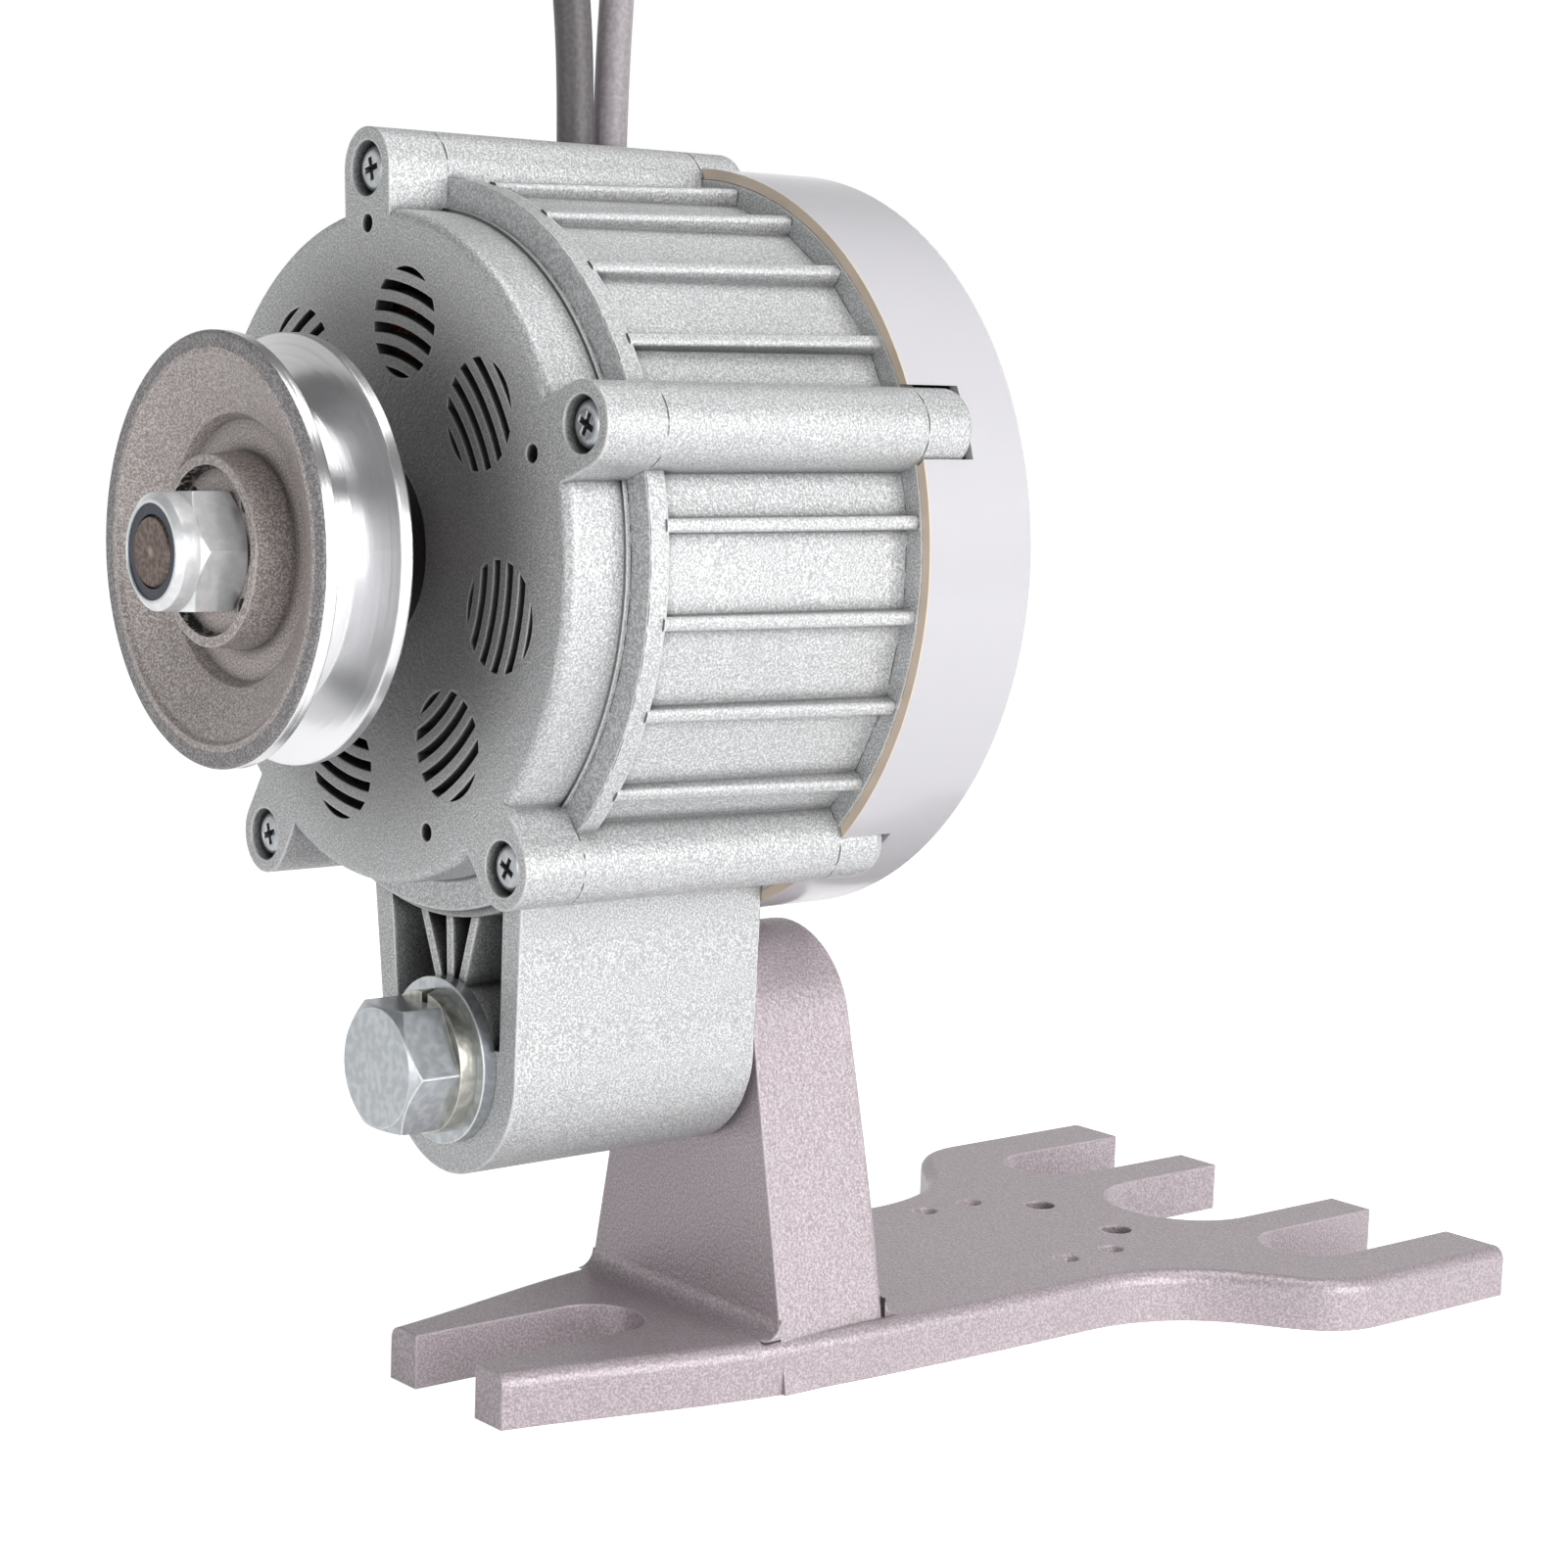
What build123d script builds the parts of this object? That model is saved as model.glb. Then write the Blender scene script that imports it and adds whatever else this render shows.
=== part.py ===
from build123d import *
from math import atan2, cos, hypot, pi, radians, sin, sqrt, tan
import os

# Sewing machine servo motor on its cast table bracket, in millimetres.
# +Z is up, the motor's axis runs along Y, and the pulley is at the -Y end.
# The origin is on the bracket's underside, on its plane of symmetry, below the
# front face of the upright. The motor hangs over the plate on one hinge bolt,
# and at rest it leans a little to -X, as a belt would pull it.

# bracket plate
plate_thickness = 9.75
plate_edge_radius = 2.4
front_tip_y = -51.8
front_tip_half = 17.2
plate_neck_half = 31.0
plate_rear_half = 61.5
plate_rear_y = 159.6
flare_start_y = 72.0
flare_end_y = 122.0
front_slot_width = 18.4
front_slot_end_y = -11.0
rear_slot_width = 20.0
rear_slot_x = 36.9
rear_slot_end_y = 119.6
rear_gap_width = 33.2
rear_gap_end_y = 115.8
dimple_radius = 2.6
dimple_depth = 2.2
dimple_spacing_x = 41.0
dimple_y = 79.8
dimple_spacing_y = 12.3
plate_hole_radius = 3.1
plate_hole_spacing = 22.0
plate_hole_y = 103.0
hole_row_x = -2.0

# bracket upright
hinge_height = 61.06
upright_top_radius = 17.8
upright_foot_half = 30.0
upright_foot_depth = 24.5
upright_head_depth = 21.5
upright_foot_fillet = 3.5
upright_edge_radius = 1.6

# hinge bolt and washers
bolt_radius = 7.0
bolt_head_across = 21.0
bolt_head_height = 8.8
bolt_length_in_bracket = 18.5
spring_washer_radius = 12.2
spring_washer_height = 3.2
spring_washer_gap = 1.6
flat_washer_radius = 14.3
flat_washer_height = 2.45
thrust_washer_radius = 15.0
thrust_washer_height = 1.45
hinge_side_play = 0.05
hinge_bore_play = 0.05

# motor placing
cover_clear_of_hinge = 21.0
rest_lean = 3.36

# screws and their bosses, on one circle
boss_count = 5
boss_first_angle = 18.0
boss_circle_radius = 62.1
boss_radius = 6.75
boss_root_radius = 48.0
screw_radius = 2.0
screw_hole_play = 0.3
screw_head_radius = 3.9
screw_head_height = 2.6
screw_recess_radius = 4.55
screw_recess_depth = 3.4
screw_thread_length = 6.5

# front bell
bell_front_y = -66.0
bell_depth = 11.4
bell_radius = 55.6
bell_edge_radius = 1.8
bell_rim_height = 0.5
bell_rim_width = 1.0
bell_wall = 3.4
bell_mouth_radius = 16.0
bell_lip = 2.5
bell_hub_wall = 5.0
bell_spigot = 2.5
spigot_play = 0.1
vent_count = 4
vent_first_angle = 54.0
vent_half_pair_angle = 20.0
vent_circle_radius = 38.1
vent_radius = 9.0
vent_slot_pitch = 3.5
vent_slot_width = 1.65
vent_slot_count = 6
small_hole_radius = 1.5
small_hole_near = 48.4
small_hole_far = 53.2

# motor body
body_rear_y = -1.4
body_bore_radius = 55.0
wall_front_radius = 59.5
wall_rear_radius = 60.5
flange_radius = 61.0
flange_width = 3.6
ribs_per_side = 4
rib_width = 2.3
rib_front_radius = 61.4
rib_rear_radius = 63.2

# hinge boss under the motor body
hinge_boss_front_y = -52.4
hinge_boss_radius = 19.8
hinge_boss_top_half = 22.4
pocket_half_low = 15.3
pocket_half_high = 17.2
pocket_floor_above_hinge = 3.0
pocket_depth = 45.0
pocket_roof_wall = 2.8
hinge_hub_radius = 13.4
web_thickness = 1.9
web_foot_half = 3.4
web_top_half = 8.6
web_set_back = 0.6

# rear shield and cover
shield_play = 0.1
shield_thickness = 3.0
shield_spigot = 3.0
lug_length = 10.5
lug_end_radius = 2.2
cover_radius = 65.8
cover_wall = 1.8
cover_depth = 23.4
cover_edge_radius = 1.2
cover_notch_play = 0.5
post_count = 3
post_circle_radius = 46.0
post_radius = 4.0
cover_screw_radius = 1.5
cover_screw_head_radius = 2.9
cover_screw_head_height = 1.9
cover_screw_length = 8.0

# bearings
front_bearing_bore = 7.5
front_bearing_radius = 17.5
front_bearing_width = 11.0
front_ball_radius = 2.6
front_ball_count = 8
rear_bearing_bore = 6.0
rear_bearing_radius = 16.0
rear_bearing_width = 10.0
rear_bearing_y = -6.5
rear_ball_radius = 2.5
rear_ball_count = 7
ball_play = 0.04
race_height = 2.6
wave_washer_height = 1.0
seal_thickness = 1.9
seal_play = 0.05

# rotor and shaft
shaft_front_y = -107.0
thread_radius = 5.9
pulley_seat_radius = 7.0
pulley_shoulder_y = -72.0
shaft_body_radius = 9.0
shaft_step_length = 2.5
shaft_tail_radius = 4.0
shaft_tail_y = 15.0
rotor_radius = 20.0
rotor_front_y = -42.0
rotor_rear_y = -12.0
magnet_count = 8
magnet_radius = 25.0
magnet_gap_angle = 3.0

# stator
stator_front_y = -42.5
stator_rear_y = -11.5
stator_yoke_radius = 47.0
tooth_count = 9
tooth_width = 9.0
tooth_tip_radius = 26.0
tooth_tip_height = 2.2
tooth_tip_width = 14.0
coil_thickness = 4.2
coil_play = 0.25

# speed sensor
board_y = 9.0
board_thickness = 1.6
board_radius = 50.5
board_bore_radius = 13.0
board_post_count = 3
board_post_first_angle = 30.0
board_post_circle = 40.0
board_post_radius = 3.2
board_screw_radius = 1.1
board_screw_head_radius = 2.0
board_screw_head_height = 1.3
board_screw_depth = 3.4
chip_offset = 9.0
chip_length = 8.0
chip_width = 6.0
chip_height = 1.6
disc_radius = 12.0
disc_thickness = 3.0

# pulley
pulley_radius = 35.0
pulley_front_y = -96.6
pulley_width = 16.2
rim_face_radius = 31.2
dish_radius = 22.0
dish_y = -92.0
step_radius = 20.9
step_y = -90.0
hub_radius = 15.4
hub_foot_radius = 16.0
hub_front_y = -97.0
hub_seat_radius = 13.7
hub_seat_y = -95.0
hub_notch_count = 4
hub_notch_first_angle = 40.0
hub_notch_circle = 11.6
hub_notch_radius = 1.5
groove_top_half = 5.7
groove_floor_half = 2.6
groove_floor_radius = 26.5
web_rear_y = -85.0
rear_rim_radius = 24.0
key_width = 5.0
key_length = 14.0
key_front_y = -91.0
key_above_shaft = 2.2
key_depth = 3.0
key_play = 0.2
shaft_fit_play = 0.02

# shaft nut
nut_across = 19.0
nut_height = 12.0
nut_collar_radius = 9.8
nut_collar_height = 3.6
nut_ring_radius = 7.7
nut_ring_height = 2.4

# cables
grommet_x = -20.0
grommet_y = -12.4
grommet_length = 17.0
grommet_width = 9.0
grommet_collar = 1.2
grommet_collar_height = 2.4
cable_root_height = 7.0
cable_root_depth = 4.0
cable_root_gap = 0.95
cable_first_rise = 17.0
cable_pad_rise = 0.4
cable_pad_margin = 1.6
grommet_seat_play = 0.2
power_cable_radius = 3.3
signal_cable_radius = 3.1
plug_length = 26.0
plug_width = 12.0
plug_height = 8.0
plug_edge_radius = 1.4
plug_boot_length = 7.0
plug_mouth_depth = 6.0
plug_wall = 1.2

# places worked out from the sizes
axis_above_hinge = cover_radius + cover_clear_of_hinge
shield_radius = cover_radius - cover_wall - shield_play
motor_axis_z = hinge_height + axis_above_hinge * cos(radians(rest_lean))
cable_pad_top_z = motor_axis_z + wall_rear_radius + cable_pad_rise
motor_place = Pos(0, 0, hinge_height) * Rot(0, -rest_lean, 0) * Pos(0, 0, axis_above_hinge)
bell_rear_y = bell_front_y + bell_depth
body_front_y = bell_rear_y
boss_step = 360.0 / boss_count
boss_angles = [boss_first_angle + boss_step * k for k in range(boss_count)]
wall_sides = boss_count * (ribs_per_side + 1)
wall_step = 360.0 / wall_sides
hinge_boss_rear_y = -thrust_washer_height - hinge_side_play
flat_washer_y = hinge_boss_front_y - hinge_side_play - flat_washer_height
spring_washer_y = flat_washer_y - spring_washer_height
bolt_head_y = spring_washer_y - bolt_head_height
lug_end_y = body_rear_y + lug_length
cover_rear_y = body_rear_y + cover_depth
front_bearing_y = bell_front_y + bell_lip
grommet_top_z = cable_pad_top_z + grommet_collar_height
cable_root_top_z = grommet_top_z + cable_root_height
cable_start_z = cable_root_top_z + cable_root_gap
cable_first_z = grommet_top_z + cable_first_rise


def at_angle(radius, angle):
    return radius * cos(radians(angle)), radius * sin(radians(angle))


def slab(outline, y0, y1):
    """Extrude an outline drawn in X and Z from y0 to y1."""
    return extrude(Plane.XZ.offset(-y1) * outline, y1 - y0)


def turned(points):
    """Turn a closed outline of (radius, y) points about the Y axis."""
    return revolve(make_face(Polyline(*points, close=True)), Axis.Y)


def ring(outer, inner, y0, y1):
    return turned([(inner, y0), (outer, y0), (outer, y1), (inner, y1)])


def rod(radius, y0, y1, x=0.0, z=0.0):
    return slab(Pos(x, z) * Circle(radius), y0, y1)


def fuse_all(first, others):
    result = first
    for other in others:
        result = result + other
    return result


def one(shape):
    """The single solid of a result, and never a group of one."""
    solids = shape.solids()
    if len(solids) != 1:
        print("more than one solid", [round(s.volume, 2) for s in solids])
    return solids[0]


def group(solids, label):
    result = Compound(children=[one(s) for s in solids])
    result.label = label
    return result


def boss_outline(root_radius, radius):
    """A round boss with straight flanks that run inward to the casting."""
    outline = Pos(boss_circle_radius, 0) * Circle(radius)
    middle = (root_radius + boss_circle_radius) / 2
    return outline + Pos(middle, 0) * Rectangle(boss_circle_radius - root_radius, 2 * radius)


def boss_bars(root_radius, radius, y0, y1):
    outline = boss_outline(root_radius, radius)
    return [slab(Rot(0, 0, a) * outline, y0, y1) for a in boss_angles]


def screw_holes(radius, y0, y1):
    places = [at_angle(boss_circle_radius, a) for a in boss_angles]
    return [rod(radius, y0, y1, x, z) for x, z in places]


def hexagon(across):
    return RegularPolygon(across / sqrt(3), 6, major_radius=True)


def plate_outline():
    """The foot: a tapered tongue in front and a flared fork behind."""
    side = [
        (front_tip_half, front_tip_y),
        (plate_neck_half - 2.2, -2.0),
        (plate_neck_half, 24.0),
        (plate_neck_half + 1.2, flare_start_y),
    ]
    flare = [
        (plate_neck_half + 1.2, flare_start_y),
        ((plate_neck_half + plate_rear_half) / 2 + 0.6, (flare_start_y + flare_end_y) / 2 + 5.0),
        (plate_rear_half, flare_end_y),
    ]
    edges = []
    for s in (1, -1):
        edges.append(Spline(*[(s * x, y) for x, y in side], tangents=[(s * 0.2, 1), (0, 1)]))
        edges.append(Spline(*[(s * x, y) for x, y in flare], tangents=[(0, 1), (0, 1)]))
        edges.append(Line((s * plate_rear_half, flare_end_y), (s * plate_rear_half, plate_rear_y)))
    edges.append(Line((-front_tip_half, front_tip_y), (front_tip_half, front_tip_y)))
    edges.append(Line((-plate_rear_half, plate_rear_y), (plate_rear_half, plate_rear_y)))
    return make_face(edges)


def open_slot(width, x, round_y, mouth_y):
    """A slot with a round inner end that runs out at the plate's edge."""
    toward_mouth = 1 if mouth_y > round_y else -1
    centre_y = round_y + toward_mouth * width / 2
    length = abs(mouth_y - centre_y)
    middle = (mouth_y + centre_y) / 2
    return Pos(x, centre_y) * Circle(width / 2) + Pos(x, middle) * Rectangle(width, length)


def upright_outline():
    """Round head about the hinge, with sides that widen to the plate."""
    distance = hypot(upright_foot_half, hinge_height)
    lean = atan2(upright_foot_half, hinge_height) - atan2(
        upright_top_radius, sqrt(distance**2 - upright_top_radius**2)
    )
    tangent_x = upright_top_radius * cos(lean)
    tangent_z = hinge_height + upright_top_radius * sin(lean)
    sides = Polyline(
        (-upright_foot_half, 0),
        (-tangent_x, tangent_z),
        (tangent_x, tangent_z),
        (upright_foot_half, 0),
        close=True,
    )
    return make_face(sides) + Pos(0, hinge_height) * Circle(upright_top_radius)


def make_bracket():
    over = 1.0
    plate = extrude(plate_outline(), plate_thickness)
    past_front = front_tip_y - over
    past_rear = plate_rear_y + over
    slots = [
        open_slot(front_slot_width, 0, front_slot_end_y, past_front),
        open_slot(rear_slot_width, rear_slot_x, rear_slot_end_y, past_rear),
        open_slot(rear_slot_width, -rear_slot_x, rear_slot_end_y, past_rear),
        open_slot(rear_gap_width, 0, rear_gap_end_y, past_rear),
    ]
    rim = plate.faces().sort_by(Axis.Z)[-1].outer_wire().edges()
    plate = fillet(rim.filter_by(lambda e: abs(e.center().X) > 1.0), plate_edge_radius)
    for slot in slots:
        plate = plate - extrude(Pos(0, 0, -over) * slot, plate_thickness + 2 * over)
    for s in (-1, 1):
        x = hole_row_x + s * plate_hole_spacing / 2
        plate = plate - Pos(x, plate_hole_y, 0) * Cylinder(plate_hole_radius, 4 * plate_thickness)
        for t in (-1, 1):
            dimple = Cone(dimple_radius * 0.35, dimple_radius, dimple_depth)
            x_dimple = hole_row_x + s * dimple_spacing_x / 2
            y_dimple = dimple_y + dimple_spacing_y * (t + 1) / 2
            plate = plate - Pos(x_dimple, y_dimple, plate_thickness - dimple_depth / 2) * dimple

    upright = slab(upright_outline(), 0, upright_foot_depth)
    upright = fillet(
        upright.edges().filter_by(lambda e: e.length > upright_top_radius).group_by(Axis.Y)[-1],
        upright_edge_radius,
    )
    foot = upright_foot_fillet
    wedge = Polyline((0, plate_thickness), (-foot, plate_thickness), (0, plate_thickness + foot), close=True)
    cove = make_face(wedge) - Pos(-foot, plate_thickness + foot) * Circle(foot)
    cove_length = 2 * plate_neck_half - 6.0
    front_cove = extrude(Plane.YZ.offset(-cove_length / 2) * cove, cove_length)
    rear_cove = Pos(0, upright_foot_depth, 0) * Rot(0, 0, 180) * front_cove
    back_cut = Polyline(
        (upright_foot_depth, plate_thickness + foot),
        (upright_head_depth, hinge_height + upright_top_radius + 1),
        (upright_foot_depth + 3, hinge_height + upright_top_radius + 1),
        (upright_foot_depth + 3, plate_thickness + foot),
        close=True,
    )
    cut_width = 2 * upright_foot_half + 10
    upright = upright - extrude(Plane.YZ.offset(-cut_width / 2) * make_face(back_cut), cut_width)
    bracket = plate + upright + front_cove + rear_cove
    bracket = bracket - rod(bolt_radius, -1, upright_foot_depth + 1, 0, hinge_height)
    return one(bracket)


def make_hinge_bolt():
    head = slab(hexagon(bolt_head_across), bolt_head_y, spring_washer_y)
    corner = bolt_head_across / sqrt(3)
    flat = bolt_head_across / 2
    dome = turned([
        (0, bolt_head_y),
        (flat - 0.4, bolt_head_y),
        (corner + 0.2, bolt_head_y + 1.5),
        (corner + 0.2, spring_washer_y),
        (0, spring_washer_y),
    ])
    shank = rod(bolt_radius, spring_washer_y, bolt_length_in_bracket)
    bolt = (head & dome) + shank
    return Pos(0, 0, hinge_height) * one(bolt)


def make_spring_washer():
    body = ring(spring_washer_radius, bolt_radius, spring_washer_y, flat_washer_y)
    reach = spring_washer_radius
    gap = Pos(0, spring_washer_y + spring_washer_height / 2, reach)
    cut = gap * Rot(0, 0, 30) * Box(spring_washer_gap, 6 * spring_washer_height, 2 * reach)
    return Pos(0, 0, hinge_height) * one(body - cut)


def make_plain_ring(outer, inner, y0, y1):
    return Pos(0, 0, hinge_height) * one(ring(outer, inner, y0, y1))


def vent_cuts():
    """Round clusters of arc slots that run about the motor's axis."""
    reach = 2 * bell_wall
    first = vent_circle_radius - vent_slot_pitch * (vent_slot_count - 1) / 2
    slots = None
    for k in range(vent_slot_count):
        middle = first + k * vent_slot_pitch
        band = Circle(middle + vent_slot_width / 2) - Circle(middle - vent_slot_width / 2)
        slots = band if slots is None else slots + band
    window = slots & (Pos(vent_circle_radius, 0) * Circle(vent_radius))
    cuts = []
    for k in range(vent_count):
        pair = vent_first_angle + 360.0 / vent_count * k
        for side in (-1, 1):
            outline = Rot(0, 0, pair + side * vent_half_pair_angle) * window
            cuts.append(slab(outline, bell_front_y - 1, bell_front_y + reach))
    return cuts


def make_front_bell():
    front = bell_front_y
    rear = bell_rear_y
    rim = bell_radius + bell_rim_height
    inner = bell_radius - bell_wall
    bearing_end = front_bearing_y + front_bearing_width
    hub = front_bearing_radius + bell_hub_wall
    shell = turned([
        (bell_mouth_radius, front),
        (bell_radius, front),
        (bell_radius, rear - bell_rim_width),
        (rim, rear - bell_rim_width),
        (rim, rear),
        (body_bore_radius - spigot_play, rear),
        (body_bore_radius - spigot_play, rear + bell_spigot),
        (inner - 0.6, rear + bell_spigot),
        (inner, front + bell_wall),
        (hub + 1.5, front + bell_wall),
        (hub, bearing_end),
        (front_bearing_radius, bearing_end),
        (front_bearing_radius, front_bearing_y),
        (bell_mouth_radius, front_bearing_y),
    ])
    edges = shell.edges().filter_by(GeomType.CIRCLE).filter_by(lambda e: abs(e.radius - bell_radius) < 0.01)
    shell = fillet(edges.group_by(Axis.Y)[0], bell_edge_radius)
    bosses = boss_bars(inner, boss_radius, front, rear)
    shell = fuse_all(shell, bosses)
    for cut in screw_holes(screw_radius + screw_hole_play, front - 1, rear + 1):
        shell = shell - cut
    for cut in screw_holes(screw_recess_radius, front - 1, front + screw_recess_depth):
        shell = shell - cut
    for cut in vent_cuts():
        shell = shell - cut
    small = [(small_hole_far, 90.0), (small_hole_near, 18.0), (small_hole_near, -72.0)]
    for radius, angle in small:
        x, z = at_angle(radius, angle)
        shell = shell - rod(small_hole_radius, front - 1, front + 2 * bell_wall, x, z)
    return one(shell)


def wall_block(front_radius, rear_radius, y0, y1):
    """The faceted wall, a little larger at its rear for draft."""
    front = Plane.XZ.offset(-y0) * (Rot(0, 0, boss_first_angle) * RegularPolygon(front_radius, wall_sides))
    rear = Plane.XZ.offset(-y1) * (Rot(0, 0, boss_first_angle) * RegularPolygon(rear_radius, wall_sides))
    return loft([front, rear])


def rib(angle):
    """A cooling rib that grows from the flange to the rear face."""
    y0 = body_front_y + flange_width - 0.5
    root = wall_front_radius - 3
    outline = Polyline(
        (root, y0),
        (rib_front_radius, y0),
        (rib_rear_radius, body_rear_y),
        (root, body_rear_y),
        close=True,
    )
    blade = extrude(make_face(outline), rib_width / 2, both=True)
    crest = blade.edges().filter_by(lambda e: e.length > 0.8 * (body_rear_y - y0)).filter_by(
        lambda e: e.center().X > rib_front_radius - 1
    )
    blade = fillet(crest, rib_width * 0.32)
    return Rot(0, -angle, 0) * blade


def hinge_boss_outline():
    low = -axis_above_hinge
    top = -body_bore_radius - 1
    sides = Polyline(
        (-hinge_boss_radius, low),
        (-hinge_boss_top_half, top),
        (hinge_boss_top_half, top),
        (hinge_boss_radius, low),
        close=True,
    )
    return make_face(sides) + Pos(0, low) * Circle(hinge_boss_radius)


def hinge_pocket():
    """The open hollow in the hinge boss, with its hub and webs left standing."""
    low = -axis_above_hinge
    floor = low + pocket_floor_above_hinge
    top = -body_bore_radius
    sides = Polyline(
        (-pocket_half_low, floor),
        (-pocket_half_high, top),
        (pocket_half_high, top),
        (pocket_half_low, floor),
        close=True,
    )
    outline = make_face(sides)
    outline = outline - Circle(wall_front_radius + pocket_roof_wall)
    outline = outline - Pos(0, low) * Circle(hinge_hub_radius)
    pocket = slab(outline, hinge_boss_front_y - 1, hinge_boss_front_y + pocket_depth)
    foot = low + hinge_hub_radius
    roof = -wall_front_radius
    webs = []
    for side in (-1, 0, 1):
        x0 = side * web_foot_half
        x1 = side * web_top_half
        length = hypot(x1 - x0, roof - foot) + 8
        turn = -atan2(x1 - x0, roof - foot) * 180 / pi
        web = Pos((x0 + x1) / 2, (roof + foot) / 2) * Rot(0, 0, turn) * Rectangle(web_thickness, length)
        webs.append(slab(web, hinge_boss_front_y + web_set_back, hinge_boss_front_y + pocket_depth + 1))
    for web in webs:
        pocket = pocket - web
    return pocket


def make_motor_body():
    front = body_front_y
    rear = body_rear_y
    wall = wall_block(wall_front_radius, wall_rear_radius, front, rear)
    wall = wall + rod(flange_radius, front, front + flange_width)
    wall = wall + slab(hinge_boss_outline(), hinge_boss_front_y, hinge_boss_rear_y)
    for side in range(boss_count):
        for k in range(ribs_per_side):
            angle = boss_first_angle + side * boss_step + (k + 1) * wall_step
            below = abs((angle + 90 + 180) % 360 - 180)
            if below > 1.3 * wall_step:
                wall = wall + rib(angle)
    wall = fuse_all(wall, boss_bars(body_bore_radius + 1, boss_radius, front, rear))
    wall = wall - rod(body_bore_radius, front - 1, rear + 1)
    for cut in screw_holes(screw_radius + screw_hole_play, front - 1, rear + 1):
        wall = wall - cut
    wall = wall - hinge_pocket()
    bore = bolt_radius + hinge_bore_play
    wall = wall - rod(bore, hinge_boss_front_y - 1, 1, 0, -axis_above_hinge)
    return wall


def grommet_block(margin, z0, z1):
    size = SlotOverall(grommet_length + 2 * margin, grommet_width + 2 * margin, rotation=90)
    return extrude(Pos(grommet_x, grommet_y, z0) * size, z1 - z0)


def bore_room(margin):
    """The motor body's bore as a solid where the motor hangs at rest."""
    return motor_place * rod(body_bore_radius + margin, bell_front_y, cover_rear_y)


def make_grommet(cable_feet):
    collar = grommet_block(grommet_collar, cable_pad_top_z, grommet_top_z)
    collar = fillet(collar.faces().sort_by(Axis.Z)[-1].edges(), 0.8)
    neck = grommet_block(0, cable_pad_top_z - 10, cable_pad_top_z) - bore_room(0.3)
    body = collar + neck
    for x, y, radius in cable_feet:
        body = body - Pos(x, y, grommet_top_z) * Cylinder(radius, 2 * cable_root_depth)
    return one(body)


def open_cable_exit(body):
    """The raised pad that the cables come out of, with a seat cut clear of the ribs."""
    pad = grommet_block(cable_pad_margin, cable_pad_top_z - 10, cable_pad_top_z)
    body = body + (pad - bore_room(0))
    seat = grommet_block(grommet_collar + grommet_seat_play, cable_pad_top_z, grommet_top_z + 8)
    body = body - seat
    return one(body - grommet_block(0, cable_pad_top_z - 12, cable_pad_top_z + 1))


def make_through_screws():
    seat = bell_front_y + screw_recess_depth
    tip = body_rear_y + screw_thread_length
    head = turned([
        (0, seat - screw_head_height),
        (screw_head_radius * 0.75, seat - screw_head_height),
        (screw_head_radius, seat - screw_head_height * 0.45),
        (screw_head_radius, seat),
        (0, seat),
    ])
    slot = screw_head_radius * 1.1
    cross = Box(slot, 2.2, 0.9) + Box(0.9, 2.2, slot)
    screw = head - Pos(0, seat - screw_head_height, 0) * cross + rod(screw_radius, seat, tip)
    places = [at_angle(boss_circle_radius, a) for a in boss_angles]
    return group([Pos(x, 0, z) * screw for x, z in places], "through_screws")


def post_places():
    angles = [90 + 360.0 / post_count * k for k in range(post_count)]
    return [at_angle(post_circle_radius, a) for a in angles]


def make_rear_shield():
    rear = body_rear_y
    inside = rear - shield_spigot
    back = rear + shield_thickness
    pocket_end = rear_bearing_y + rear_bearing_width
    hub = rear_bearing_radius + 3.5
    spigot = body_bore_radius - spigot_play
    plate = turned([
        (rear_bearing_radius, rear_bearing_y - wave_washer_height),
        (hub, rear_bearing_y - wave_washer_height),
        (hub + 1, rear),
        (spigot - 4, rear),
        (spigot - 4, inside),
        (spigot, inside),
        (spigot, rear),
        (shield_radius, rear),
        (shield_radius, back),
        (hub + 2, back),
        (hub, pocket_end + 1.6),
        (rear_bearing_bore + 2.5, pocket_end + 1.6),
        (rear_bearing_bore + 2.5, pocket_end),
        (rear_bearing_radius, pocket_end),
    ])
    outline = boss_outline(boss_root_radius, boss_radius)
    lugs = []
    for angle in boss_angles:
        lug = slab(outline, rear, lug_end_y)
        end = lug.faces().sort_by(Axis.Y)[-1].edges()
        lug = fillet(end.filter_by(GeomType.CIRCLE), lug_end_radius)
        lugs.append(Rot(0, -angle, 0) * lug)
    plate = fuse_all(plate, lugs)
    for cut in screw_holes(screw_radius, rear - 1, rear + screw_thread_length + 1):
        plate = plate - cut
    for x, z in post_places():
        top = cover_rear_y - cover_wall
        plate = plate + rod(post_radius, rear, top, x, z)
        plate = plate - rod(cover_screw_radius, top - cover_screw_length - 1, top + 1, x, z)
    for x, z in board_places():
        plate = plate + rod(board_post_radius, rear, board_y, x, z)
        plate = plate - rod(board_screw_radius, board_y - board_screw_depth - 0.5, board_y + 1, x, z)
    return one(plate)


def board_places():
    step = 360.0 / board_post_count
    return [at_angle(board_post_circle, board_post_first_angle + step * k) for k in range(board_post_count)]


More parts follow.
